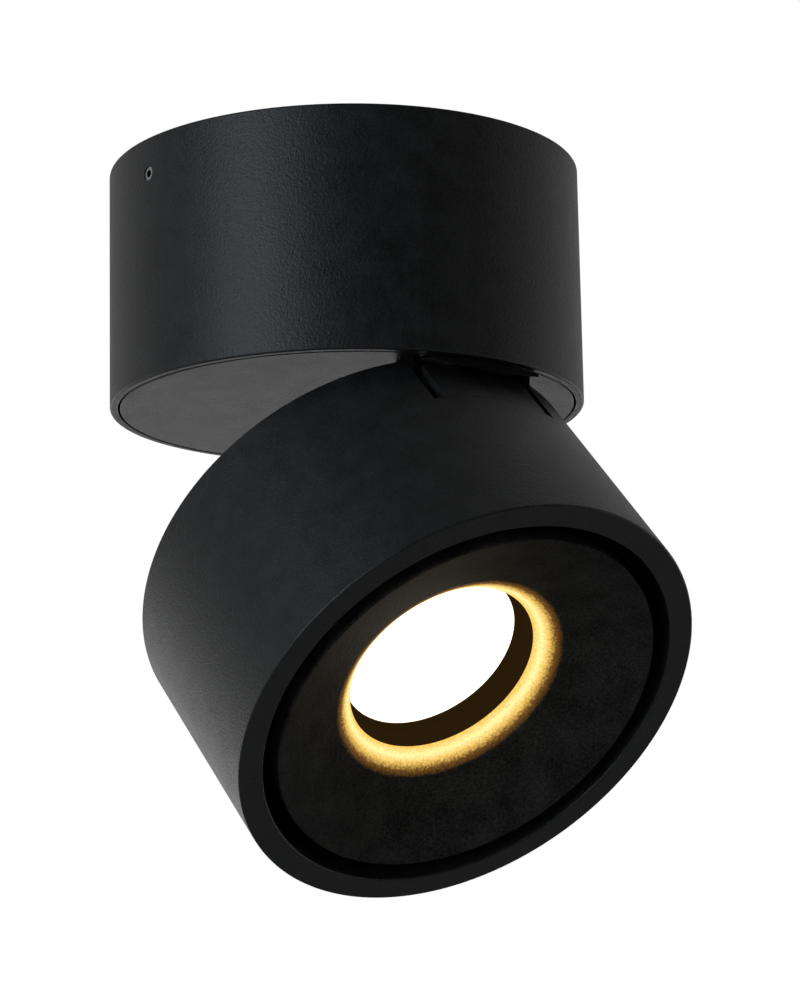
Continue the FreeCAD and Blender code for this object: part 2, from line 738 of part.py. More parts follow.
def build_driver_inside():
    """Circuit board on four feet, with the transformer, capacitors and choke standing on it."""
    front, rear = S.driver_offset, DRIVER_REAR
    edge = S.driver_wall + S.board_gap
    floor = WEB_TOP + S.driver_wall
    board_top = floor + S.board_lift + S.board_thickness
    foot = S.board_lift * 2
    board = Piece("driver_board")
    board.pad(
        rectangle(edge - DRIVER_HALF, DRIVER_HALF - edge, front + edge, rear - edge),
        bottom=floor + S.board_lift, length=S.board_thickness,
    )
    low, high = front + edge, rear - edge
    left, right = edge - DRIVER_HALF, DRIVER_HALF - edge
    board.pad(
        rectangle(left, left + foot, low, low + foot), rectangle(right - foot, right, low, low + foot),
        rectangle(left, left + foot, high - foot, high), rectangle(right - foot, right, high - foot, high),
        bottom=floor, length=S.board_lift,
    )
    middle = (front + rear) / 2
    half_core = S.transformer_side / 2
    parts = Piece("driver_components")
    parts.pad(
        rectangle(-half_core, half_core, middle - half_core, middle + half_core),
        bottom=board_top, length=S.transformer_height,
    )
    parts.pad(
        Circle(DRIVER_HALF * S.component_place_share, middle, S.capacitor_radius),
        Circle(DRIVER_HALF * S.filter_place_share, middle, S.filter_radius),
        Circle(-DRIVER_HALF * S.component_place_share, middle, S.choke_radius),
        bottom=board_top, length=S.capacitor_height,
    )


def build_driver_screws():
    piece = Piece("driver_screws")
    head = WEB_TOP + S.driver_wall + S.screw_head_height
    for place in DRIVER_SCREWS:
        piece.revolve(screw_outline(head, head - WEB_BOTTOM, countersunk=False), at=place)


def build_terminals():
    """Terminal block on the web with its clamp screws, and the earth screw with its ring tag beside it."""
    half_length, rear = S.terminal_length / 2, -S.terminal_offset
    front = rear - S.terminal_width
    top = WEB_TOP + S.terminal_height
    pitch = S.terminal_length / S.pole_count
    middle = (front + rear) / 2
    screw_bottom = top - S.terminal_screw_depth
    poles = [pitch * (k + 0.5) - half_length for k in range(round(S.pole_count.value))]
    block = Piece("terminal_block")
    block.pad(rectangle(-half_length, half_length, front, rear), bottom=WEB_TOP, length=S.terminal_height)
    block.pocket(
        *[Circle(x, middle, S.terminal_screw_radius + S.running_gap) for x in poles],
        bottom=screw_bottom, length=S.terminal_screw_depth,
    )
    block.pocket(
        *[Circle(x, TERMINAL_LEVEL, S.terminal_mouth_radius) for x in poles],
        bottom=-(front + S.terminal_mouth), length=S.terminal_mouth, plane="XZ_Plane",
    )
    screws = Piece("terminal_screws")
    screws.pad(
        *[Circle(x, middle, S.terminal_screw_radius) for x in poles],
        bottom=screw_bottom, length=S.terminal_screw_depth - S.terminal_screw_sink,
    )
    earth = Piece("earth_terminal")
    head = WEB_TOP + S.washer_thickness + S.screw_head_height
    earth.pad(Circle(*EARTH_SCREW, S.earth_tag_radius), bottom=WEB_TOP, length=S.washer_thickness)
    earth.revolve(screw_outline(head, head - WEB_BOTTOM, countersunk=False), at=EARTH_SCREW)


def build_ceiling_leads():
    """Line, neutral and earth leads from the terminal block, and the driver's output lead into the pivot."""
    rear = -S.terminal_offset
    pitch = S.terminal_length / S.pole_count
    driver_face = S.driver_offset + S.driver_wall
    leaving, rising = rear * S.lead_start_share, rear * S.lead_rise_share
    line = [
        (pitch, rear, TERMINAL_LEVEL), (pitch, leaving, TERMINAL_LEVEL), (LINE_X, rising, LEAD_LEVEL),
        (LINE_X, driver_face, LEAD_LEVEL),
    ]
    neutral = [
        (ZERO, rear, TERMINAL_LEVEL), (ZERO, leaving, TERMINAL_LEVEL), (NEUTRAL_X, rising, LEAD_LEVEL),
        (NEUTRAL_X, driver_face, LEAD_LEVEL),
    ]
    tag_level = WEB_TOP + S.washer_thickness + S.core_radius
    tag_edge = EARTH_SCREW[1] + S.earth_tag_radius
    earth = [
        (-pitch, rear, TERMINAL_LEVEL), (-pitch, leaving, TERMINAL_LEVEL), (EARTH_SCREW[0], leaving, tag_level),
        (EARTH_SCREW[0], tag_edge, tag_level),
    ]
    leads("supply_leads", [line, neutral, earth], S.core_radius)
    high = PIVOT_TOP + S.output_loop_height
    output = [
        (OUTPUT_LEAD_X, driver_face, LEAD_LEVEL), (OUTPUT_LEAD_X, ZERO, LEAD_LEVEL), (OUTPUT_LEAD_X / 2, ZERO, high),
        (ZERO, ZERO, high), (ZERO, ZERO, LEAD_MEETING + S.lead_gap),
    ]
    leads("driver_output_lead", [output], S.lead_radius)


def build_pan_parts():
    """The stop pin that limits the pan, and the nylon thrust washer between the web and the turntable's hub."""
    pin = Piece("pan_stop_pin")
    pin.pad(
        Circle(-S.stop_ring_radius, ZERO, S.stop_pin_radius), bottom=WEB_BOTTOM - S.stop_pin_drop,
        length=S.stop_pin_drop + S.web_thickness,
    )
    washer = Piece("thrust_washer")
    bore = S.pivot_radius + S.loose_gap
    washer.revolve(rectangle(bore, S.hub_radius - S.loose_gap, HUB_TOP + S.running_gap, WEB_BOTTOM))


# ---------------------------------------------------------------------------------------------------------------
# Turntable
# ---------------------------------------------------------------------------------------------------------------
def build_turntable_disc():
    """Flush round plate with a hub, the let-in seat of the hinge yoke, and a stop post on its upper side."""
    piece = Piece("turntable_disc")
    bevel = S.edge_break / 2
    bore = S.pivot_radius + S.running_gap
    flange = S.pivot_flange_radius + S.running_gap
    flange_top = CAN_BOTTOM + S.pivot_flange_thickness
    piece.revolve(Outline(
        (flange, CAN_BOTTOM), (DISC_RADIUS - bevel, CAN_BOTTOM), (DISC_RADIUS, CAN_BOTTOM + bevel),
        (DISC_RADIUS, DISC_TOP), (S.hub_radius, DISC_TOP), (S.hub_radius, HUB_TOP), (bore, HUB_TOP),
        (bore, flange_top), (flange, flange_top),
    ))
    half_window = S.lead_radius + S.loose_gap
    piece.pocket(
        rectangle(-half_window, half_window, -(S.hub_radius + S.overcut), ZERO), bottom=DISC_TOP,
        length=HUB_TOP - DISC_TOP - S.hub_bridge,
    )
    fit = S.running_gap
    half_width = S.yoke_half_width + fit
    piece.pocket(
        rectangle(-half_width, half_width, -(YOKE_FACE + fit), fit - YOKE_BASE_INNER),
        bottom=CAN_BOTTOM, length=S.yoke_base_thickness,
    )
    piece.pocket(Circle(ZERO, -LEAD_EXIT, S.grommet_radius), bottom=CAN_BOTTOM, length=S.disc_thickness)
    for place in YOKE_SCREWS:
        screw_hole(piece, place, DISC_TOP, S.disc_thickness - S.yoke_base_thickness / 2)
    piece.pad(Circle(S.stop_ring_radius, ZERO, S.stop_pin_radius), bottom=DISC_TOP, length=S.stop_post_height)


def build_pivot():
    """Hollow pivot tube with its flange, held above the web by a washer, a wave washer and a hex nut."""
    tube = Piece("pivot_tube")
    flange_top = CAN_BOTTOM + S.pivot_flange_thickness
    tube.revolve(Outline(
        (S.pivot_bore, CAN_BOTTOM), (S.pivot_flange_radius, CAN_BOTTOM), (S.pivot_flange_radius, flange_top),
        (S.pivot_radius, flange_top), (S.pivot_radius, PIVOT_TOP), (S.pivot_bore, PIVOT_TOP),
    ))
    half_window = S.lead_radius + S.loose_gap
    tube.pocket(
        rectangle(-half_window, half_window, -(S.pivot_radius + S.overcut), ZERO), bottom=flange_top,
        length=HUB_TOP - flange_top - S.hub_bridge,
    )
    bore = S.pivot_radius + S.running_gap
    washer_bottom = WEB_TOP + S.running_gap
    washer_top = washer_bottom + S.washer_thickness
    flat = Piece("pivot_washer")
    flat.revolve(rectangle(bore, S.nut_flats / 2, washer_bottom, washer_top))
    wave = Piece("wave_washer")
    wave.revolve(Outline(
        (bore, washer_top), (bore + S.wave_step, washer_top), (S.nut_flats / 2, NUT_BOTTOM - S.wave_step),
        (S.nut_flats / 2, NUT_BOTTOM), (S.nut_flats / 2 - S.wave_step, NUT_BOTTOM), (bore, washer_top + S.wave_step),
    ))
    nut = Piece("pivot_nut")
    half = S.nut_flats / 2
    corner = S.nut_flats / root_of(Size(3, "3"))
    nut.pad(
        Outline((corner / 2, -half), (corner, ZERO), (corner / 2, half), (-corner / 2, half), (-corner, ZERO),
                (-corner / 2, -half)),
        Circle(ZERO, ZERO, S.pivot_radius), bottom=NUT_BOTTOM, length=S.nut_height,
    )


def build_hinge_yoke():
    """Cast yoke: a base let into the disc and two ears down to the hinge axis."""
    piece = Piece("hinge_yoke")
    piece.pad(
        rectangle(-S.yoke_half_width, S.yoke_half_width, -YOKE_FACE, -YOKE_BASE_INNER),
        bottom=CAN_BOTTOM, length=S.yoke_base_thickness,
    )
    ear_side = Outline(
        (-YOKE_FACE, CAN_BOTTOM), (-YOKE_FACE, HINGE_Z),
        (EAR_RADIUS - HINGE_REACH, HINGE_Z), (-EAR_ROOT, CAN_BOTTOM),
    )
    arm = piece.pad(ear_side, bottom=EAR_INNER, length=S.ear_thickness, plane="YZ_Plane")
    eye = piece.pad(
        Circle(HINGE_Y, HINGE_Z, EAR_RADIUS), bottom=EAR_INNER, length=S.ear_thickness, plane="YZ_Plane",
    )
    piece.mirror([arm, eye])
    piece.pocket(
        Circle(HINGE_Y, HINGE_Z, S.axle_radius), length=S.can_radius, plane="YZ_Plane", both_ways=True,
    )
    sink = S.axle_head_height + S.running_gap
    counterbore = piece.pocket(
        Circle(HINGE_Y, HINGE_Z, S.axle_head_radius + S.running_gap), bottom=S.yoke_half_width - sink, length=sink,
        plane="YZ_Plane",
    )
    piece.mirror([counterbore])
    piece.pocket(
        Circle(ZERO, -LEAD_EXIT, S.grommet_radius), bottom=CAN_BOTTOM, length=S.yoke_base_thickness,
    )
    for place in YOKE_SCREWS:
        screw_hole(piece, place, DISC_TOP, S.disc_thickness - S.yoke_base_thickness / 3)


def build_hinge_hardware():
    """Yoke screws, the riveted hinge axle, and the two friction washers beside the knuckle."""
    screws = Piece("yoke_screws")
    for place in YOKE_SCREWS:
        screws.revolve(screw_outline(DISC_TOP, S.disc_thickness - S.yoke_base_thickness / 3), at=place)
    axle = Piece("hinge_axle")
    end = S.yoke_half_width - S.running_gap
    shoulder = end - S.axle_head_height
    axle.turn_along_x(Outline(
        (-end, ZERO), (end, ZERO), (end, S.axle_head_radius), (shoulder, S.axle_head_radius),
        (shoulder, S.axle_radius), (-shoulder, S.axle_radius), (-shoulder, S.axle_head_radius),
        (-end, S.axle_head_radius),
    ), HINGE_Z, HINGE_REACH)
    washers = Piece("hinge_washers")
    washer = washers.pad(
        Circle(HINGE_Y, HINGE_Z, EAR_RADIUS - S.side_gap * 2),
        Circle(HINGE_Y, HINGE_Z, S.axle_radius + S.running_gap),
        bottom=EAR_INNER - S.side_gap - S.friction_washer, length=S.friction_washer, plane="YZ_Plane",
    )
    washers.mirror([washer])


def grommet(label, outer_face, inner_face, in_head=False):
    """Rubber bush in a lead hole, flush outside, with a flange on the inner side."""
    piece = Piece(label, in_head)
    bore = S.lead_radius + S.running_gap
    neck = S.grommet_radius - S.running_gap
    way = 1 if inner_face.value > outer_face.value else -1
    flange_face = inner_face + S.grommet_flange_thickness * way
    piece.revolve(Outline(
        (bore, outer_face), (neck, outer_face), (neck, inner_face), (S.grommet_flange_radius, inner_face),
        (S.grommet_flange_radius, flange_face), (bore, flange_face),
    ), at=(ZERO, -LEAD_EXIT))


def build_turntable_leads():
    """Bush in the disc, and the lead from the pivot's bore along the disc to the bush."""
    grommet("turntable_grommet", CAN_BOTTOM, DISC_TOP)
    route = [
        (ZERO, ZERO, LEAD_MEETING), (ZERO, ZERO, CHAMBER_LEAD_LEVEL), (ZERO, -LEAD_EXIT, CHAMBER_LEAD_LEVEL),
        (ZERO, -LEAD_EXIT, CAN_BOTTOM),
    ]
    leads("turntable_lead", [route], S.lead_radius)


# ---------------------------------------------------------------------------------------------------------------
# Head, drawn closed in its own frame
# ---------------------------------------------------------------------------------------------------------------
def build_head_casing():
    """Thick-walled round casing with its back, the dark-edged front rim, and the notch for the hinge."""
    piece = Piece("head_casing", in_head=True)
    bevel = S.edge_break
    piece.revolve(Outline(
        (ZERO, BACK_INSIDE), (CASING_INSIDE, BACK_INSIDE), (CASING_INSIDE, FACE + bevel),
        (CASING_INSIDE + bevel, FACE), (HEAD_RADIUS - bevel, FACE), (HEAD_RADIUS, FACE + bevel),
        (HEAD_RADIUS, -bevel), (HEAD_RADIUS - bevel, ZERO), (ZERO, ZERO),
    ))
    piece.pocket(
        rectangle(-NOTCH_HALF, NOTCH_HALF, -(HEAD_RADIUS + S.overcut), -NOTCH_INNER), bottom=NOTCH_FLOOR,
        length=S.overcut - NOTCH_FLOOR,
    )
    for place in POST_PLACES + KNUCKLE_SCREWS:
        screw_hole(piece, place, ZERO, S.back_thickness)
    piece.pocket(Circle(ZERO, -LEAD_EXIT, S.grommet_radius), bottom=BACK_INSIDE, length=S.back_thickness)


def build_hinge_knuckle():
    """Cast knuckle that fills the notch between the ears, flush with the casing, its corner round about the axis."""
    piece = Piece("hinge_knuckle", in_head=True)
    inner = -(NOTCH_INNER + S.side_gap)
    corner_run = root_of(CORNER_RADIUS * CORNER_RADIUS - AXIS_BELOW_BACK * AXIS_BELOW_BACK)
    wall_run = HEAD_RADIUS - HINGE_REACH
    corner_rise = root_of(CORNER_RADIUS * CORNER_RADIUS - wall_run * wall_run)
    floor = NOTCH_FLOOR + S.side_gap
    piece.pad(Outline(
        (inner, ZERO), (inner, floor), (-HEAD_RADIUS, floor),
        (-HEAD_RADIUS, corner_rise - AXIS_BELOW_BACK), (HINGE_Y - corner_run, ZERO),
    ), bottom=ZERO, length=KNUCKLE_HALF * 2, plane="YZ_Plane", both_ways=True)
    piece.groove(rectangle(HEAD_RADIUS, HEAD_RADIUS * 1.2, floor - S.overcut, S.overcut))
    flange_bottom = BACK_INSIDE - S.knuckle_flange_thickness
    half_flange = S.knuckle_flange_width / 2
    piece.pad(
        rectangle(-half_flange, half_flange, inner - S.overcut, -KNUCKLE_FLANGE_INNER),
        bottom=flange_bottom, length=S.knuckle_flange_thickness,
    )
    piece.pocket(
        Circle(HINGE_Y, -AXIS_BELOW_BACK, S.axle_radius + S.running_gap), length=HEAD_RADIUS,
        plane="YZ_Plane", both_ways=True,
    )
    piece.pocket(
        Circle(ZERO, -LEAD_EXIT, S.grommet_flange_radius + S.running_gap), bottom=flange_bottom,
        length=S.knuckle_flange_thickness,
    )
    for place in KNUCKLE_SCREWS:
        piece.pocket(Circle(*place, S.screw_radius), bottom=flange_bottom, length=S.knuckle_flange_thickness)


def build_back_screws():
    """Countersunk screws in the casing's back: two for the knuckle, three for the heat sink."""
    knuckle = Piece("knuckle_screws", in_head=True)
    for place in KNUCKLE_SCREWS:
        knuckle.revolve(screw_outline(ZERO, S.back_thickness + S.knuckle_flange_thickness), at=place)
    sink = Piece("heat_sink_screws", in_head=True)
    for place in POST_PLACES:
        sink.revolve(screw_outline(ZERO, S.back_thickness + S.post_thread), at=place)


def build_heat_sink():
    """Cast heat sink: a round base, radial fins round a core, and three posts up to the casing's back."""
    piece = Piece("heat_sink", in_head=True)
    piece.pad(Circle(ZERO, ZERO, SINK_RADIUS), bottom=SINK_FRONT, length=S.sink_base)
    piece.pad(Circle(ZERO, ZERO, S.sink_core_radius), bottom=SINK_BACK, length=FIN_HEIGHT)
    half_fin = S.fin_thickness / 2
    fin = piece.pad(rectangle(S.fin_inner, FIN_OUTER, -half_fin, half_fin), bottom=SINK_BACK, length=FIN_HEIGHT)
    piece.repeat([fin], S.fin_count)
    half_flange = S.knuckle_flange_width / 2 + S.loose_gap * 3
    piece.pocket(
        rectangle(-half_flange, half_flange, -(FIN_OUTER + S.overcut), S.loose_gap * 3 - KNUCKLE_FLANGE_INNER),
        bottom=SINK_BACK, length=FIN_HEIGHT,
    )
    for place in POST_PLACES:
        piece.pad(Circle(*place, S.post_radius), bottom=SINK_BACK, length=BACK_INSIDE - SINK_BACK)
        piece.pocket(Circle(*place, S.screw_radius), bottom=BACK_INSIDE - S.post_thread, length=S.post_thread)
    for place in LUG_PLACES:
        screw_hole(piece, place, SINK_BACK, S.sink_base)
    piece.pocket(
        Circle(ZERO, S.sink_lead_shift - LEAD_EXIT, S.sink_lead_hole), bottom=SINK_FRONT, length=S.sink_base,
    )
    piece.pocket(
        Circle(-S.holder_screw_x, ZERO, S.screw_radius), Circle(S.holder_screw_x, ZERO, S.screw_radius),
        bottom=SINK_FRONT, length=S.sink_base,
    )


def build_light_engine():
    """LED board with its phosphor disc, the clamping holder, the reflector cup and the diffuser."""
    board = Piece("cob_board", in_head=True)
    half_side = S.cob_side / 2
    board.pad(rectangle(-half_side, half_side, -half_side, half_side), bottom=COB_FRONT, length=S.cob_thickness)
    phosphor = Piece("cob_phosphor", in_head=True)
    phosphor.pad(
        Circle(ZERO, ZERO, S.phosphor_radius), bottom=COB_FRONT - S.phosphor_thickness, length=S.phosphor_thickness,
    )
    holder = Piece("cob_holder", in_head=True)
    holder.pad(
        Circle(ZERO, ZERO, S.holder_radius), Circle(ZERO, ZERO, S.holder_window), bottom=HOLDER_FRONT,
        length=S.holder_thickness,
    )
    seat = half_side + S.running_gap
    holder.pocket(rectangle(-seat, seat, -seat, seat), bottom=COB_FRONT, length=S.cob_thickness)
    clear, wide = S.screw_radius + S.running_gap, S.screw_head_radius + S.running_gap
    screw_places = [(-S.holder_screw_x, ZERO), (S.holder_screw_x, ZERO)]
    holder.pocket(
        *[Circle(*place, clear) for place in screw_places], bottom=HOLDER_FRONT, length=S.holder_thickness,
    )
    holder.pocket(
        *[Circle(*place, wide) for place in screw_places], bottom=HOLDER_FRONT, length=S.screw_head_height,
    )
    screws = Piece("cob_holder_screws", in_head=True)
    length = SINK_BACK - HOLDER_FRONT
    for place in screw_places:
        screws.revolve(screw_outline(HOLDER_FRONT, length, points_down=False, countersunk=False), at=place)

    reflector = Piece("reflector", in_head=True)
    rim = DIFFUSER_BACK + S.running_gap
    start = HOLDER_FRONT - S.running_gap
    mouth = S.diffuser_radius - S.reflector_flange_width / 2
    flange = mouth + S.reflector_flange_width
    reflector.revolve(Outline(
        (S.reflector_throat, start), (mouth, rim), (flange, rim), (flange, rim + S.reflector_wall),
        (mouth + S.reflector_wall / 2, rim + S.reflector_wall), (S.reflector_throat + S.reflector_wall, start),
    ))
    diffuser = Piece("diffuser", in_head=True)
    diffuser.pad(Circle(ZERO, ZERO, S.diffuser_radius), bottom=DIFFUSER_FRONT, length=S.diffuser_thickness)


def build_baffle_trim():
    """Black funnel with a rounded throat, a deep outer skirt, and three screw lugs inside the skirt."""
    piece = Piece("baffle_trim", in_head=True)
    bevel = S.edge_break
    angle, rounding = S.funnel_angle, S.throat_round
    slope = sine(angle) / cosine(angle)
    tangent_radius = S.throat_radius + rounding * (1 - sine(angle))
    tangent_level = TRIM_FRONT + (TRIM_RADIUS - bevel - tangent_radius) * slope
    throat_level = tangent_level + rounding * cosine(angle)
    skin = S.trim_wall / cosine(angle)
    skirt_inside = TRIM_RADIUS - S.trim_wall
    throat_outside = S.throat_radius + S.trim_wall
    lip_level = throat_level + S.trim_wall

    def back_of_funnel(radius):
        return TRIM_FRONT + (TRIM_RADIUS - bevel - radius) * slope + skin

    shoulder = throat_outside + rounding * (1 - sine(angle))
    piece.revolve(Outline(
        (TRIM_RADIUS, SINK_FRONT), (skirt_inside, SINK_FRONT), (skirt_inside, back_of_funnel(skirt_inside)),
        (shoulder, back_of_funnel(shoulder)), (throat_outside, lip_level), (throat_outside, DIFFUSER_FRONT),
        (S.throat_radius, DIFFUSER_FRONT), (S.throat_radius, throat_level, rounding),
        (tangent_radius, tangent_level), (TRIM_RADIUS - bevel, TRIM_FRONT), (TRIM_RADIUS, TRIM_FRONT + bevel),
    ))
    for place in LUG_PLACES:
        piece.pad(Circle(*place, S.lug_radius), bottom=SINK_FRONT - S.lug_height, length=S.lug_height)
        piece.pocket(Circle(*place, S.screw_radius), bottom=SINK_FRONT - S.lug_height, length=S.lug_height)
    screws = Piece("trim_screws", in_head=True)
    for place in LUG_PLACES:
        screws.revolve(screw_outline(SINK_BACK, S.sink_base + S.lug_height - S.screw_end_gap), at=place)


def build_head_lead():
    """Bush in the casing's back, and the lead from it through the heat sink to the LED holder."""
    grommet("head_grommet", ZERO, BACK_INSIDE, in_head=True)
    level = SINK_FRONT - S.lead_radius - S.side_gap
    route = [
        (ZERO, -LEAD_EXIT, ZERO), (ZERO, -LEAD_EXIT, level),
        (ZERO, -(S.holder_radius + S.side_gap), level),
    ]
    leads("head_lead", [route], S.lead_radius, in_head=True)


def check_document():
    """Stop if any object failed or any piece has no valid closed solid."""
    doc.recompute()
    failed = [thing.Label for thing in doc.Objects if {"Invalid", "Error"} & set(thing.State)]
    if failed:
        raise RuntimeError(f"failed objects: {failed}")
    for piece in PIECES:
        shape = piece.Shape
        if shape.isNull() or not shape.isValid() or not shape.Solids:
            raise RuntimeError(f"{piece.Label} has no valid solid")


def write_pieces():
    os.makedirs("parts", exist_ok=True)
    for piece in PIECES:
        piece.Shape.exportStep(f"parts/{piece.Label}.step")
        print(f"{piece.Label}: {len(piece.Shape.Solids)} solids, {piece.Shape.Volume / 1000:.3f} cm3")


BUILDERS = (
    build_canopy_housing, build_ceiling_plate, build_canopy_grub_screws, build_driver_case, build_driver_inside,
    build_driver_screws, build_terminals, build_ceiling_leads, build_pan_parts,
    build_turntable_disc, build_pivot, build_hinge_yoke, build_hinge_hardware, build_turntable_leads,
    build_head_casing, build_hinge_knuckle, build_back_screws, build_heat_sink, build_light_engine,
    build_baffle_trim, build_head_lead,
)
for build in BUILDERS:
    build()
check_document()
write_pieces()
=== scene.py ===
"""Surface mounted ceiling spotlight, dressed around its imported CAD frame.

A round can holds a flush turntable, and an equal round head folds open on a hinge at its rear corner.
Lengths in the classes are millimetres. The head's pieces are made closed, in the head's own frame (origin at
the centre of its back, +Z up), and are carried to the opened pose by one matrix.
"""
from __future__ import annotations

import json
import logging
import math
from collections.abc import Iterable, Sequence
from dataclasses import dataclass
from enum import Enum
from functools import cache

import bmesh
import bpy
from mathutils import Matrix, Vector


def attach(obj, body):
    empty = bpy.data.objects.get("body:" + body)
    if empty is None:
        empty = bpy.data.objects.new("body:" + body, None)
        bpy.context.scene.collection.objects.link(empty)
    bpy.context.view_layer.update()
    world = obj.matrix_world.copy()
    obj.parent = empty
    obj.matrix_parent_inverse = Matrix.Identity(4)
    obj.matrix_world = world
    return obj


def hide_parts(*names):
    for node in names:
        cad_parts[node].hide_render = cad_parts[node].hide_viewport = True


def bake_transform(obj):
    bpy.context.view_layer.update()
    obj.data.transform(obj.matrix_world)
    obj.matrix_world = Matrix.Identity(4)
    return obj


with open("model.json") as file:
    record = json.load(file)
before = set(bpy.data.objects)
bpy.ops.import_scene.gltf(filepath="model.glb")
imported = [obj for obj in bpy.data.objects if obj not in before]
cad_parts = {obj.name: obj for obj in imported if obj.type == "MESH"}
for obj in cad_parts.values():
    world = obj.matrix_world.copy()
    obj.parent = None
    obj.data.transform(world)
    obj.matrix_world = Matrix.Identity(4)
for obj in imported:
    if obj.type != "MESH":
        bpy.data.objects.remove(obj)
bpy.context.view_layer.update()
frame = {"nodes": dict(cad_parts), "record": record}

LOG = logging.getLogger("spotlight")
MM = 0.001
TURN = math.tau
# Faces round a large, a middling and a small turned piece.
ROUND_STEPS, DISC_STEPS, SMALL_STEPS = 192, 128, 48
# Vertices closer than this, in metres, are one vertex.
JOIN_GAP = 1e-7
# Edges sharper than the first stay crisp, and triangles flatter than the second are joined.
CREASE_DEG, FLAT_DEG = 32.0, 0.5
# How far a cutter runs past the surface that it opens.
OVER = 1.0
Colour = tuple[float, float, float]
Piece = bpy.types.Object
Socket = bpy.types.NodeSocket
Sockets = dict[int | str, object]


class Body(str, Enum):
    """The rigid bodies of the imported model."""

    CANOPY = "canopy"
    TURNTABLE = "turntable"
    HEAD = "head"


class Slot(str, Enum):
    """The record's material slots, and two darker, duller finishes that paint shade inside the throat and at
    the hinge.
    """

    THROAT = "throat_black"
    HINGE = "hinge_black"
    PAINT = "black_paint"
    GALVANISED = "galvanised_steel"
    ZINC = "zinc_steel"
    BRIGHT = "bright_steel"
    NYLON = "nylon"
    DRIVER = "driver_plastic"
    CIRCUIT = "circuit_board"
    COMPONENT = "component_black"
    LEAD = "lead_cover"
    RUBBER = "rubber"
    ALUMINIUM = "bare_aluminium"
    CERAMIC = "ceramic_board"
    PHOSPHOR = "phosphor"
    HOLDER = "holder_plastic"
    REFLECTOR = "reflector_metal"
    OPAL = "opal"
    BAFFLE = "baffle_black"


# --- Node trees ---
class Value:
    """A number, colour or geometry in a node tree; numbers take part in Python sums."""

    def __init__(self, tree: NodeTree, socket: Socket) -> None:
        """Wrap one output socket.

        Args:
            tree: The tree that the socket belongs to.
            socket: The output socket.
        """
        self.tree = tree
        self.socket = socket

    def combine(self, operation: str, first: object, second: object = 0.0) -> Value:
        """Add a Math node.

        Args:
            operation: The node's operation.
            first: Its first number or link.
            second: Its second number or link.

        Returns:
            The result.
        """
        return self.tree.value("ShaderNodeMath", {"operation": operation}, {0: first, 1: second})

    def __add__(self, other: object) -> Value:
        """Add."""
        return self.combine("ADD", self, other)

    __radd__ = __add__

    def __sub__(self, other: object) -> Value:
        """Subtract."""
        return self.combine("SUBTRACT", self, other)

    def __rsub__(self, other: object) -> Value:
        """Subtract from a number."""
        return self.combine("SUBTRACT", other, self)

    def __mul__(self, other: object) -> Value:
        """Multiply."""
        return self.combine("MULTIPLY", self, other)

    __rmul__ = __mul__

    def __rtruediv__(self, other: object) -> Value:
        """Divide a number by this."""
        return self.combine("DIVIDE", other, self)

    def larger(self, other: object) -> Value:
        """Return the larger of two values."""
        return self.combine("MAXIMUM", self, other)

    def cosine(self) -> Value:
        """Return the cosine."""
        return self.combine("COSINE", self)

    def sine(self) -> Value:
        """Return the sine."""
        return self.combine("SINE", self)


class NodeTree:
    """One node tree, to which every node is added by one method."""

    def __init__(self, tree: bpy.types.NodeTree) -> None:
        """Start with an empty tree.

        Args:
            tree: The material's, the world's or the modifier's tree.
        """
        self.tree = tree
        tree.nodes.clear()

    def add(self, kind: str, settings: dict[str, object], sockets: Sockets) -> bpy.types.Node:
        """Add a node, with its settings first.

        Args:
            kind: The node's type name.
            settings: Its properties; "stops" sets a ramp's stops.
            sockets: Values or links for its inputs, by name or place; a list links several to one.

        Returns:
            The node.
        """
        node = self.tree.nodes.new(kind)
        for name, setting in settings.items():
            if name == "stops":
                self.set_stops(node.color_ramp, setting)
            else:
                setattr(node, name, setting)
        for key, given in sockets.items():
            for link in given if isinstance(given, list) else [given]:
                if isinstance(link, Value):
                    self.tree.links.new(link.socket, node.inputs[key])
                else:
                    node.inputs[key].default_value = link
        return node

    @staticmethod
    def set_stops(ramp: bpy.types.ColorRamp, stops: Sequence[tuple[float, Colour]]) -> None:
        """Give a ramp its stops.

        Args:
            ramp: The ramp.
            stops: Pairs of place and colour, in order.
        """
        while len(ramp.elements) < len(stops):
            ramp.elements.new(1.0)
        for stop, (place, colour) in zip(ramp.elements, stops):
            stop.position = place
            stop.color = (*colour, 1)

    def value(self, kind: str, settings: dict[str, object], sockets: Sockets,
              output: int | str = 0) -> Value:
        """Add a node and return one of its outputs.

        Args:
            kind: The node's type name.
            settings: Its properties.
            sockets: Its inputs.
            output: The output, by name or place.

        Returns:
            The output.
        """
        return Value(self, self.add(kind, settings, sockets).outputs[output])


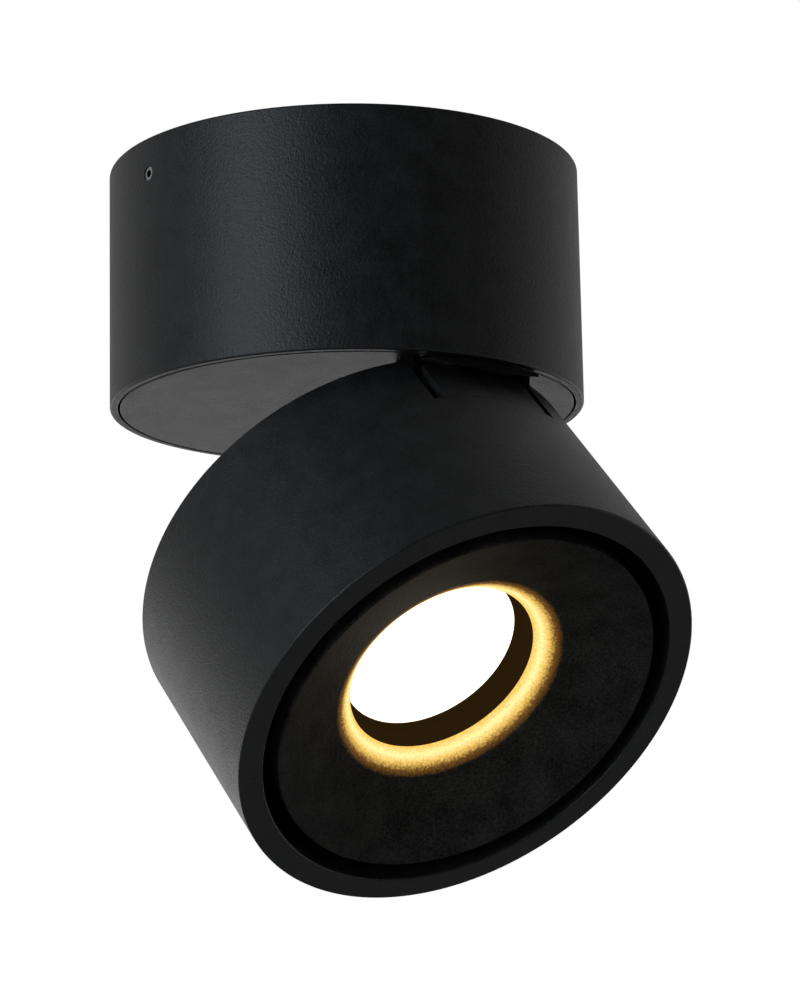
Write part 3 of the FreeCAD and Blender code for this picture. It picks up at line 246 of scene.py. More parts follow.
class Shader(NodeTree):
    """A material's or the world's tree."""

    def place(self) -> Value:
        """Return the piece's object coordinates."""
        return self.value("ShaderNodeTexCoord", {}, {}, "Object")

    def noise(self, grain_mm: float, detail: float = 2.0, stretch: Colour = (1, 1, 1)) -> Value:
        """Noise on object coordinates.

        Args:
            grain_mm: The size of its grains.
            detail: Its octaves.
            stretch: How much finer it is along each axis.

        Returns:
            A value from 0 to 1.
        """
        spread = self.value(
            "ShaderNodeVectorMath", {"operation": "MULTIPLY"}, {0: self.place(), 1: stretch},
        )
        sockets: Sockets = {"Vector": spread, "Scale": 1 / (grain_mm * MM), "Detail": detail}
        return self.value("ShaderNodeTexNoise", {}, sockets, "Fac")

    def cells(self, size_mm: float) -> Value:
        """Return the distance to the nearest of random points about size_mm apart."""
        return self.value(
            "ShaderNodeTexVoronoi", {}, {"Vector": self.place(), "Scale": 1 / (size_mm * MM)}, "Distance",
        )

    def ramp(self, given: Value, low: float, high: float) -> Value:
        """Return 0 below low and 1 above high, with an even slope between."""
        return self.colours(given, ((low, (0, 0, 0)), (high, (1, 1, 1))))

    def colours(self, given: Value, stops: Sequence[tuple[float, Colour]]) -> Value:
        """Return the colour that a value from 0 to 1 has between stops."""
        return self.value("ShaderNodeValToRGB", {"stops": stops}, {"Fac": given}, "Color")

    def axis_distance(self, frame_matrix: Matrix) -> Value:
        """Return the distance, in millimetres, from the Z axis of a frame that a piece was carried to.

        Args:
            frame_matrix: The matrix that carried the piece.

        Returns:
            The distance.
        """
        turn = tuple(frame_matrix.to_euler())
        closed = self.value(
            "ShaderNodeMapping", {"vector_type": "TEXTURE"},
            {"Vector": self.place(), "Location": tuple(frame_matrix.translation), "Rotation": turn},
        )
        flat = self.value("ShaderNodeVectorMath", {"operation": "MULTIPLY"}, {0: closed, 1: (1, 1, 0)})
        return self.value("ShaderNodeVectorMath", {"operation": "LENGTH"}, {0: flat}, "Value") * (1 / MM)

    def blend(self, first: Colour, second: Colour, factor: Value) -> Value:
        """Mix two colours.

        Args:
            first: The colour at factor 0.
            second: The colour at factor 1.
            factor: The share of the second.

        Returns:
            The mixed colour.
        """
        return self.value(
            "ShaderNodeMix", {"data_type": "RGBA"}, {0: factor, 6: (*first, 1), 7: (*second, 1)}, 2,
        )

    def bump(self, height: Value, depth_mm: float) -> Value:
        """Return a normal bent by a height of 0 to 1 over a depth."""
        return self.value(
            "ShaderNodeBump", {}, {"Strength": 1.0, "Distance": depth_mm * MM, "Height": height}, "Normal",
        )

    def surface(self, sockets: Sockets) -> None:
        """Finish with a Principled shader."""
        shade = self.value("ShaderNodeBsdfPrincipled", {}, sockets)
        self.add("ShaderNodeOutputMaterial", {}, {"Surface": shade})


# --- Finishes ---
@dataclass(frozen=True)
class Finish:
    """A surface finish with a base colour and a roughness."""

    name: str
    colour: Colour
    roughness: float

    def sockets(self, shader: Shader) -> Sockets:
        """Return the Principled shader's inputs for this finish.

        Args:
            shader: The tree to add nodes to.

        Returns:
            Numbers and links by socket name.
        """
        raise NotImplementedError

    @cache
    def material(self) -> bpy.types.Material:
        """Make this finish's own material once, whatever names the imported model's materials have.

        Returns:
            The material.
        """
        made = bpy.data.materials.new(self.name)
        made.use_nodes = True
        shader = Shader(made.node_tree)
        shader.surface(self.sockets(shader))
        made.diffuse_color = (*self.colour, 1)
        return made

    def tinted(self, factor: float) -> Colour:
        """Return the colour times a factor."""
        red, green, blue = (min(1.0, part * factor) for part in self.colour)
        return red, green, blue


@dataclass(frozen=True)
class PowderCoat(Finish):
    """Matt powder coat: fine sanded grain, soft mottling and small bright specks."""

    grain_mm: float = 0.38
    depth_mm: float = 0.016
    gloss: float = 0.5
    dark: float = 0.7
    speck: float = 2.2
    contrast: tuple[float, float] = (0.36, 0.72)
    mottle_size: float = 14
    pit_size: float = 2.2

    def sockets(self, shader: Shader) -> Sockets:
        """Grain in bump, roughness and colour.

        Args:
            shader: The tree to add nodes to.

        Returns:
            Numbers and links by socket name.
        """
        grain = shader.noise(self.grain_mm, 3.0)
        mottle = shader.noise(self.grain_mm * self.mottle_size, 3.0)
        pits = shader.cells(self.grain_mm * self.pit_size)
        shade = shader.ramp(grain * 0.6 + mottle * 0.4, *self.contrast)
        return {
            "Base Color": shader.blend(self.tinted(self.dark), self.tinted(self.speck), shade),
            "Roughness": (mottle - 0.5) * 0.12 + (grain - 0.5) * 0.22 + self.roughness,
            "Specular IOR Level": self.gloss,
            "Normal": shader.bump(grain * 0.75 + pits * 0.25, self.depth_mm),
        }


@dataclass(frozen=True)
class PaintedGlowLip(PowderCoat):
    """The baffle's grained black, with a painted glow on its lip that stands in for the lamp's light, fading
    outwards in bright specks of grain.
    """

    inner: float = 20.4
    reach: float = 4.8
    glow_grain: float = 0.4
    strength: float = 1.15
    glow: tuple[tuple[float, Colour], ...] = (
        (0.0, (0.85, 0.5, 0.08)), (0.25, (1.0, 0.85, 0.36)), (0.48, (0.8, 0.5, 0.11)),
        (0.72, (0.14, 0.06, 0.008)), (1.0, (0.0, 0.0, 0.0)),
    )

    def sockets(self, shader: Shader) -> Sockets:
        """Powder coat, with a painted glow by distance from the throat's edge.

        Args:
            shader: The tree to add nodes to.

        Returns:
            Numbers and links by socket name.
        """
        # Painted glow: emission that stands in for the lamp's light falling on the lip, fading outwards from
        # the throat's edge in bright specks of grain.
        away = (shader.axis_distance(Layout().head_matrix()) - self.inner) * (1 / self.reach)
        glow_grains = (shader.noise(self.grain_mm, 3.0) - 0.5) * self.glow_grain
        return super().sockets(shader) | {
            "Emission Color": shader.colours(away + glow_grains, self.glow), "Emission Strength": self.strength,
        }


@dataclass(frozen=True)
class SatinMetal(Finish):
    """Bare or plated metal with fine drawn lines and patches of duller bloom."""

    grain_mm: float = 0.25
    lines: Colour = (1, 1, 6)
    depth_mm: float = 0.004
    bloom: float = 0.25
    bloom_mm: float = 3.5
    bloom_edge: tuple[float, float] = (0.35, 0.7)

    def sockets(self, shader: Shader) -> Sockets:
        """Lines in bump and roughness, bloom in colour.

        Args:
            shader: The tree to add nodes to.

        Returns:
            Numbers and links by socket name.
        """
        drawn = shader.noise(self.grain_mm, 2.0, self.lines)
        bloom = shader.ramp(shader.noise(self.bloom_mm, 4.0), *self.bloom_edge)
        return {
            "Base Color": shader.blend(self.colour, self.tinted(1 - self.bloom), bloom),
            "Metallic": 1.0,
            "Roughness": drawn * 0.18 + bloom * 0.12 + (self.roughness - 0.12),
            "Normal": shader.bump(drawn, self.depth_mm),
        }


@dataclass(frozen=True)
class Moulded(Finish):
    """Moulded plastic or rubber: spark-eroded grain with slow changes of gloss."""

    grain_mm: float = 0.3
    depth_mm: float = 0.008
    gloss: float = 0.5
    tone: float = 0.12
    tone_mm: float = 6.0

    def sockets(self, shader: Shader) -> Sockets:
        """Grain in bump, slow change in roughness and colour.

        Args:
            shader: The tree to add nodes to.

        Returns:
            Numbers and links by socket name.
        """
        grain = shader.noise(self.grain_mm, 2.0)
        slow = shader.noise(self.tone_mm, 2.0)
        return {
            "Base Color": shader.blend(self.tinted(1 - self.tone), self.tinted(1 + self.tone), slow),
            "Roughness": (slow - 0.5) * 0.15 + (grain - 0.5) * 0.1 + self.roughness,
            "Specular IOR Level": self.gloss,
            "Normal": shader.bump(grain, self.depth_mm),
        }


@dataclass(frozen=True)
class PaintedGlowWall(Moulded):
    """A dull moulded wall with a faint painted glow, standing in for a little of the light beside it."""

    glow: Colour = (0.02, 0.0105, 0.0028)

    def sockets(self, shader: Shader) -> Sockets:
        """Moulded grain, with a faint painted glow.

        Args:
            shader: The tree to add nodes to.

        Returns:
            Numbers and links by socket name.
        """
        # Painted glow: a faint warm emission standing in for the lamp's light on the wall.
        return super().sockets(shader) | {"Emission Color": (*self.glow, 1), "Emission Strength": 1.0}


@dataclass(frozen=True)
class CircuitMask(Finish):
    """Solder mask over copper tracks, which show as lighter raised bands."""

    track: Colour = (0.09, 0.32, 0.14)
    track_mm: float = 2.4
    track_edge: tuple[float, float] = (0.5, 0.53)
    depth_mm: float = 0.03

    def sockets(self, shader: Shader) -> Sockets:
        """Tracks in colour and bump.

        Args:
            shader: The tree to add nodes to.

        Returns:
            Numbers and links by socket name.
        """
        bands = shader.ramp(shader.noise(self.track_mm, 0.0, (1, 0.25, 1)), *self.track_edge)
        return {
            "Base Color": shader.blend(self.colour, self.track, bands),
            "Roughness": bands * 0.08 + self.roughness,
            "Normal": shader.bump(bands, self.depth_mm),
        }


@dataclass(frozen=True)
class Glowing(Finish):
    """A lit translucent face, its light slightly uneven."""

    light: Colour = (1.0, 0.86, 0.66)
    strength: float = 6.0
    cloud_mm: float = 5.0
    frost_mm: float = 0.3
    depth_mm: float = 0.004
    dimmed: Colour = (0.94, 0.92, 0.9)

    def sockets(self, shader: Shader) -> Sockets:
        """Slightly uneven light over a fine frosted grain.

        Args:
            shader: The tree to add nodes to.

        Returns:
            Numbers and links by socket name.
        """
        cloud = shader.noise(self.cloud_mm, 2.0)
        frost = shader.noise(self.frost_mm, 2.0)
        red, green, blue = (part * share for part, share in zip(self.light, self.dimmed))
        return {
            "Base Color": shader.blend(self.tinted(0.97), self.colour, cloud),
            "Roughness": (frost - 0.5) * 0.1 + self.roughness,
            "Emission Color": shader.blend((red, green, blue), self.light, cloud),
            "Emission Strength": self.strength,
            "Normal": shader.bump(frost, self.depth_mm),
        }


FINISHES: dict[Slot, Finish] = {
    Slot.PAINT: PowderCoat("powder_coat_black", (0.0082, 0.0085, 0.0089), 0.42, depth_mm=0.13, speck=2.8),
    # The baffle's lip carries a painted glow.
    Slot.BAFFLE: PaintedGlowLip(
        "grained_black_painted_glow", (0.0105, 0.0106, 0.0101), 0.64, grain_mm=0.5, depth_mm=0.2, gloss=0.1, speck=5.0,
    ),
    # Painted shade and glow: the throat wall's near-black colour with a faint warm emission.
    Slot.THROAT: PaintedGlowWall("throat_black", (0.0014, 0.001, 0.0006), 0.8, gloss=0.0),
    # Painted shade: a darker, duller copy of the black paint for the hinge.
    Slot.HINGE: Moulded("hinge_black", (0.004, 0.004, 0.0042), 0.75, depth_mm=0.02, gloss=0.08),
    Slot.GALVANISED: SatinMetal("galvanised_sheet", (0.52, 0.53, 0.54), 0.42, grain_mm=1.2, lines=(1, 1, 1)),
    Slot.ZINC: SatinMetal("zinc_plate", (0.62, 0.62, 0.63), 0.3),
    Slot.BRIGHT: SatinMetal("polished_steel", (0.7, 0.7, 0.71), 0.2, lines=(6, 1, 1), bloom=0.1),
    Slot.ALUMINIUM: SatinMetal(
        "cast_aluminium", (0.6, 0.61, 0.62), 0.46, grain_mm=0.4, lines=(1, 1, 1), depth_mm=0.02,
    ),
    Slot.REFLECTOR: SatinMetal("metallised_film", (0.86, 0.86, 0.87), 0.16, lines=(1, 1, 1), bloom=0.05),
    Slot.NYLON: Moulded("natural_nylon", (0.78, 0.76, 0.7), 0.5),
    Slot.DRIVER: Moulded("driver_case_white", (0.78, 0.78, 0.76), 0.48, tone=0.05),
    Slot.COMPONENT: Moulded("component_case", (0.02, 0.02, 0.023), 0.4),
    Slot.LEAD: Moulded("lead_cover_black", (0.03, 0.03, 0.03), 0.42, grain_mm=0.6, depth_mm=0.004),
    Slot.RUBBER: Moulded("soft_rubber", (0.02, 0.02, 0.02), 0.7, depth_mm=0.02),
    Slot.CERAMIC: Moulded("white_ceramic", (0.86, 0.86, 0.84), 0.3, depth_mm=0.003, tone=0.03),
    Slot.HOLDER: Moulded("holder_white", (0.82, 0.82, 0.79), 0.5, tone=0.05),
    Slot.CIRCUIT: CircuitMask("solder_mask_green", (0.02, 0.16, 0.06), 0.32),
    Slot.PHOSPHOR: Glowing("led_phosphor", (0.95, 0.72, 0.22), 0.4, (1.0, 0.8, 0.5), 3.0),
    Slot.OPAL: Glowing("opal_diffuser", (0.9, 0.88, 0.84), 0.45, (1.0, 0.88, 0.7), 1.9),
}


# --- Meshes ---
@dataclass(frozen=True)
class Corner:
    """A corner of a turned profile, with the radius that rounds it."""

    radius: float
    level: float
    rounding: float = 0.0


def rounded_profile(corners: Sequence[Corner], steps: int = 5) -> list[Vector]:
    """Round a closed profile's corners.

    Args:
        corners: The corners in order.
        steps: Straight pieces in each rounded corner.

    Returns:
        Points (radius, level) in millimetres.
    """
    points: list[Vector] = []
    places = [Vector((corner.radius, corner.level)) for corner in corners]
    for index, corner in enumerate(corners):
        here, before, after = places[index], places[index - 1], places[(index + 1) % len(places)]
        if not corner.rounding:
            points.append(here)
            continue
        into, out = (here - before).normalized(), (after - here).normalized()
        bend = into.angle(out)
        reach = corner.rounding * math.tan(bend / 2)
        start, end = here - into * reach, here + out * reach
        middle = (start + end) / 2
        centre = here + (middle - here).normalized() * (corner.rounding / math.cos(bend / 2))
        for step in range(steps + 1):
            part = step / steps
            along = (start - centre).normalized().slerp((end - centre).normalized(), part)
            points.append(centre + along * corner.rounding)
    return points


def linked(name: str, data: bpy.types.ID) -> Piece:
    """Make an object of a mesh, curve, lamp or camera and link it to the scene."""
    made = bpy.data.objects.new(name, data)
    bpy.context.scene.collection.objects.link(made)
    return made


def finish_mesh(work: bmesh.types.BMesh, name: str) -> Piece:
    """Turn a bmesh into an object with outward faces, smooth shading and sharp creases.

    Args:
        work: The bmesh, freed here.
        name: The object's name.

    Returns:
        The object, linked to the scene.
    """
    bmesh.ops.remove_doubles(work, verts=work.verts, dist=JOIN_GAP)
    bmesh.ops.recalc_face_normals(work, faces=work.faces)
    mesh = bpy.data.meshes.new(name)
    crease(work)
    work.to_mesh(mesh)
    work.free()
    return linked(name, mesh)


def crease(work: bmesh.types.BMesh) -> None:
    """Shade smooth, with sharper edges kept crisp.

    Args:
        work: The bmesh.
    """
    limit = math.radians(CREASE_DEG)
    for face in work.faces:
        face.smooth = True
    for edge in work.edges:
        edge.smooth = edge.is_manifold and edge.calc_face_angle(0.0) < limit


def lathe(name: str, corners: Sequence[Corner], steps: int = ROUND_STEPS) -> Piece:
    """Turn a closed profile about the Z axis.

    Args:
        name: The object's name.
        corners: The profile's corners, in millimetres.
        steps: The faces round.

    Returns:
        The turned piece.
    """
    work = bmesh.new()
    profile = rounded_profile(corners)
    rings: list[list[bmesh.types.BMVert]] = []
    for radius, level in profile:
        if radius < 1e-6:
            rings.append([work.verts.new((0, 0, level * MM))] * steps)
            continue
        angles = (TURN * step / steps for step in range(steps))
        rings.append([
            work.verts.new((radius * MM * math.cos(a), radius * MM * math.sin(a), level * MM)) for a in angles
        ])
    for lower, upper in zip(rings, rings[1:] + rings[:1]):
        if lower[0] is lower[1] and upper[0] is upper[1]:
            continue
        for step in range(steps):
            after = (step + 1) % steps
            corners_here = (lower[step], lower[after], upper[after], upper[step])
            work.faces.new(tuple(dict.fromkeys(corners_here)))
    return finish_mesh(work, name)


def block(name: str, low: Sequence[float], high: Sequence[float]) -> Piece:
    """Make a box, to cut with or to cut from.

    Args:
        name: The object's name.
        low: Its lowest corner, in millimetres.
        high: Its highest corner.

    Returns:
        The box.
    """
    work = bmesh.new()
    size = [top - bottom for bottom, top in zip(low, high)]
    centre = [(top + bottom) / 2 for bottom, top in zip(low, high)]
    matrix = Matrix.Translation(Vector(centre) * MM) @ Matrix.Diagonal((*(Vector(size) * MM), 1))
    bmesh.ops.create_cube(work, size=1, matrix=matrix)
    return finish_mesh(work, name)


def drill(place: Sequence[float], radius: float, length: float, wide: float = 0.0, sink: float = 0.0,
          along: str = "Z") -> Piece:
    """Make a cutter: a cylinder through a place, with a countersink whose mouth is at the place.

    Args:
        place: The mouth's centre, in millimetres.
        radius: The hole's radius.
        length: How far the hole runs below (or to both sides of) the place.
        wide: The countersink's radius at the mouth, or 0.
        sink: The countersink's depth.
        along: The axis that the hole runs along.

    Returns:
        The cutter.
    """
    over = 0.5
    if wide:
        slope = (wide - radius) / sink
        corners = [Corner(0, over), Corner(wide + slope * over, over), Corner(radius, -sink),
                   Corner(radius, -length), Corner(0, -length)]
    else:
        corners = [Corner(0, length), Corner(radius, length), Corner(radius, -length), Corner(0, -length)]
    cutter = lathe("cutter", corners, SMALL_STEPS)
    if along == "X":
        cutter.data.transform(Matrix.Rotation(math.pi / 2, 4, "Y"))
    cutter.data.transform(Matrix.Translation(Vector(place) * MM))
    return cutter


def settle(made: Piece) -> None:
    """Apply an object's modifiers to its mesh.

    Args:
        made: The object.
    """
    bpy.context.view_layer.update()
    evaluated = made.evaluated_get(bpy.context.evaluated_depsgraph_get())
    mesh = bpy.data.meshes.new_from_object(evaluated)
    made.modifiers.clear()
    made.data = mesh


def cut(made: Piece, cutters: Iterable[Piece]) -> None:
    """Cut one or more shapes out of a piece.

    Args:
        made: The piece.
        cutters: The shapes, which are used up.
    """
    for cutter in cutters:
        modifier = made.modifiers.new("cut", "BOOLEAN")
        modifier.operation, modifier.solver, modifier.object = "DIFFERENCE", "EXACT", cutter
        settle(made)
        bpy.data.objects.remove(cutter)


def soften(made: Piece, width_mm: float, least_deg: float = 50.0) -> None:
    """Round a piece's crisp edges and settle its shading.

    Args:
        made: The piece.
        width_mm: The bevel's width, or 0 for none.
        least_deg: The least angle of an edge that is rounded.
    """
    if width_mm:
        bevel = made.modifiers.new("bevel", "BEVEL")
        bevel.width, bevel.segments = width_mm * MM, 2
        bevel.limit_method, bevel.angle_limit = "ANGLE", math.radians(least_deg)
        settle(made)
    work = bmesh.new()
    work.from_mesh(made.data)
    bmesh.ops.remove_doubles(work, verts=work.verts, dist=JOIN_GAP)
    crease(work)
    work.to_mesh(made.data)
    work.free()
    modifier = made.modifiers.new("shading", "WEIGHTED_NORMAL")
    modifier.keep_sharp = True
    settle(made)


def copy_node(node: str, name: str) -> Piece:
    """Copy a CAD node's mesh, with its triangles joined into flat faces.

    Args:
        node: The CAD node.
        name: The copy's name.

    Returns:
        The copy.
    """
    work = bmesh.new()
    work.from_mesh(frame["nodes"][node].data)
    bmesh.ops.remove_doubles(work, verts=work.verts, dist=2 * JOIN_GAP)
    bmesh.ops.dissolve_limit(work, angle_limit=math.radians(FLAT_DEG), verts=work.verts, edges=work.edges)
    return finish_mesh(work, name)


def dress(made: Piece, body: Body, slot: Slot, *nodes: str,
          look: Slot | None = None) -> Piece:
    """Give a piece its finish, its body and the CAD nodes that it stands for.

    Args:
        made: The finished piece.
        body: The body it moves with.
        slot: The record's slot that its finish comes from.
        nodes: The CAD nodes that it replaces.
        look: A darker, duller finish within that slot, which paints shade.

    Returns:
        The piece.
    """
    made.data.materials.clear()
    made.data.materials.append(FINISHES[look or slot].material())
    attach(made, body.value)
    if nodes:
        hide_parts(*nodes)
    LOG.info("%s: %d faces, on %s", made.name, len(made.data.polygons), body.value)
    return made


# --- Geometry Nodes ---
class GeometryTree(NodeTree):
    """A Geometry Nodes tree with named inputs that ends in plain geometry with a material."""

    def __init__(self, name: str, sizes: dict[str, float]) -> None:
        """Start a tree.

        Args:
            name: The tree's name.
            sizes: Its inputs' names and values, in metres, radians or counts.
        """
        super().__init__(bpy.data.node_groups.new(name, "GeometryNodeTree"))
        self.sizes = sizes
        sides = self.tree.interface
        sides.new_socket("Geometry", in_out="OUTPUT", socket_type="NodeSocketGeometry")
        for label, size in sizes.items():
            kind = "NodeSocketInt" if isinstance(size, int) else "NodeSocketFloat"
            sides.new_socket(label, in_out="INPUT", socket_type=kind)
        self.given = self.tree.nodes.new("NodeGroupInput")

    def size(self, label: str) -> Value:
        """Return one named input."""
        return Value(self, self.given.outputs[label])

    def vector(self, x: object, y: object, z: object) -> Value:
        """Return a vector of three numbers or links."""
        return self.value("ShaderNodeCombineXYZ", {}, {0: x, 1: y, 2: z})

    def lifted(self, geometry: Value, height: Value) -> Value:
        """Move geometry along Z."""
        return self.value(
            "GeometryNodeTransform", {}, {"Geometry": geometry, "Translation": self.vector(0.0, 0.0, height)},
        )

    def piece(self, geometry: Value, slot: Slot, name: str) -> Piece:
        """End the tree and turn its result into a plain mesh.

        Args:
            geometry: The tree's result.
            slot: The finish that it sets.
            name: The piece's name.

        Returns:
            The piece.
        """
        real = self.value("GeometryNodeRealizeInstances", {}, {0: geometry})
        shaded = self.value(
            "GeometryNodeSetMaterial", {}, {"Geometry": real, "Material": FINISHES[slot].material()},
        )
        self.add("NodeGroupOutput", {}, {0: shaded})
        made = linked(name, bpy.data.meshes.new(name))
        modifier = made.modifiers.new("tree", "NODES")
        modifier.node_group = self.tree
        for item in self.tree.interface.items_tree:
            if item.in_out == "INPUT":
                modifier[item.identifier] = self.sizes[item.name]
        settle(made)
        return made


@dataclass(frozen=True)
class Screws:
    """Equal socket screws evenly round a centre, heads up or lying along the radius."""

    name: str
    count: int
    ring: float
    first_deg: float
    level: float
    length: float
    head_radius: float = 2.8
    head_height: float = 1.7
    shank_radius: float = 1.5
    socket_radius: float = 1.05
    socket_depth: float = 1.0
    centre_y: float = 0.0
    lying: bool = False
    head_faces: int = 48
    shank_faces: int = 32

    def build(self) -> Piece:
        """Make the screws in one Geometry Nodes tree.

        Returns:
            The screws as one mesh.
        """
        tree = GeometryTree(self.name, {
            "Count": self.count, "Ring Radius": self.ring * MM, "First Angle": math.radians(self.first_deg),
            "Level": self.level * MM, "Centre Y": self.centre_y * MM, "Length": self.length * MM,
            "Head Radius": self.head_radius * MM, "Head Height": self.head_height * MM,
            "Shank Radius": self.shank_radius * MM, "Socket Radius": self.socket_radius * MM,
            "Socket Depth": self.socket_depth * MM, "Lean": math.pi / 2 if self.lying else 0.0,
        })
        screw = self.one_screw(tree)
        count, ring = tree.size("Count"), tree.size("Ring Radius")
        index = tree.value("GeometryNodeInputIndex", {}, {})
        angle = index * (TURN / count) + tree.size("First Angle")
        forward = angle.sine() * ring + tree.size("Centre Y")
        place = tree.vector(angle.cosine() * ring, forward, tree.size("Level"))
        points = tree.value("GeometryNodePoints", {}, {"Count": count, "Position": place})
        set_out = tree.value("GeometryNodeInstanceOnPoints", {}, {
            "Points": points, "Instance": screw, "Rotation": tree.vector(0.0, tree.size("Lean"), angle),
        })
        return tree.piece(set_out, Slot.ZINC, self.name)

    def one_screw(self, tree: GeometryTree) -> Value:
        """Make one screw with the top of its head at the origin.

        Known fault: the Boolean node's default solver drops the shank from the union, so only the head is made.

        Args:
            tree: The tree to add to.

        Returns:
            The screw's geometry.
        """
        height, length = tree.size("Head Height"), tree.size("Length")
        cone = tree.value("GeometryNodeMeshCone", {}, {
            "Vertices": self.head_faces, "Radius Top": tree.size("Head Radius"),
            "Radius Bottom": tree.size("Shank Radius"), "Depth": height,
        })
        shank_length = length - height * 0.5
        shank = tree.value("GeometryNodeMeshCylinder", {}, {
            "Vertices": self.shank_faces, "Radius": tree.size("Shank Radius"), "Depth": shank_length,
        })
        parts = [tree.lifted(cone, height * -1.0), tree.lifted(shank, shank_length * 0.5 - length)]
        body = tree.value("GeometryNodeMeshBoolean", {"operation": "UNION"}, {"Mesh 2": parts})
        socket = tree.value("GeometryNodeMeshCylinder", {}, {
            "Vertices": 6, "Radius": tree.size("Socket Radius"), "Depth": tree.size("Socket Depth") * 2.0,
        })
        return tree.value(
            "GeometryNodeMeshBoolean", {"operation": "DIFFERENCE"}, {"Mesh 1": body, "Mesh 2": [socket]},
        )


# --- Sub-assemblies ---
@dataclass(frozen=True)
class Layout:
    """Sizes that several sub-assemblies share."""

    radius: float = 50.0
    can_height: float = 51.0
    hinge_reach: float = 43.0
    hinge_drop: float = 9.9
    closed_gap: float = 1.0
    open_deg: float = 43.0
    lead_exit: float = 31.0
    bush_radius: float = 3.0
    edge: float = 0.45
    screw_clear: float = 1.55
    screw_wide: float = 2.85
    screw_sink: float = 1.75

    def head_matrix(self) -> Matrix:
        """Work out how the head opens.

        Returns:
            The matrix that carries the closed head's frame to the opened pose.
        """
        opening = math.radians(self.open_deg)
        below = self.hinge_drop - self.closed_gap
        reach = self.hinge_reach
        forward = -reach + reach * math.cos(opening) + below * math.sin(opening)
        level = -self.can_height - self.hinge_drop - reach * math.sin(opening) + below * math.cos(opening)
        return Matrix.Translation(Vector((0, forward, level)) * MM) @ Matrix.Rotation(-opening, 4, "X")


@dataclass(frozen=True)
class Canopy:
    """The can under the ceiling, with the grub screws that hold it on its plate."""

    layout: Layout
    wall: float = 2.4
    lip: float = 1.7
    web_bottom: float = -40.0
    web_top: float = -37.0
    pivot_bore: float = 5.05
    grub_drop: float = 7.75
    grub_radius: float = 1.5
    grub_length: float = 5.5
    grub_set_back: float = 0.25
    grub_chamfer: float = 0.4
    grub_gap: float = 0.05
    socket_radius: float = 0.85
    socket_depth: float = 1.4
    bevel: float = 0.12
    driver_screw: tuple[float, float] = (36.1, 16.1)
    earth_screw: tuple[float, float] = (-25.0, -24.5)

    def build(self) -> None:
        """Make and dress the can and its screws."""
        size, edge = self.layout, self.layout.edge
        bottom = -size.can_height
        inside, recess = size.radius - self.wall, size.radius - self.lip
        shell = lathe("canopy_shell", [
            Corner(inside, 0, edge / 2), Corner(size.radius, 0, edge), Corner(size.radius, bottom, edge),
            Corner(recess, bottom, edge / 2), Corner(recess, self.web_bottom),
            Corner(self.pivot_bore, self.web_bottom), Corner(self.pivot_bore, self.web_top),
            Corner(inside, self.web_top),
        ])
        grub = drill((0, 0, -self.grub_drop), self.grub_radius + self.grub_gap, size.radius + OVER, along="X")
        x, y = self.driver_screw
        places = [(x, y), (-x, y), self.earth_screw]
        middle, web = (self.web_bottom + self.web_top) / 2, self.web_top - self.web_bottom
        cut(shell, [grub] + [drill((*place, middle), self.grub_radius, web) for place in places])
        soften(shell, 0.0)
        dress(shell, Body.CANOPY, Slot.PAINT, "canopy_housing")
        grubs = Screws(
            "grub_screws", 2, size.radius - self.grub_set_back, 0, -self.grub_drop, self.grub_length,
            head_radius=self.grub_radius, head_height=self.grub_chamfer, socket_radius=self.socket_radius,
            socket_depth=self.socket_depth, lying=True,
        ).build()
        soften(grubs, self.bevel)
        dress(grubs, Body.CANOPY, Slot.ZINC, "canopy_grub_screws")


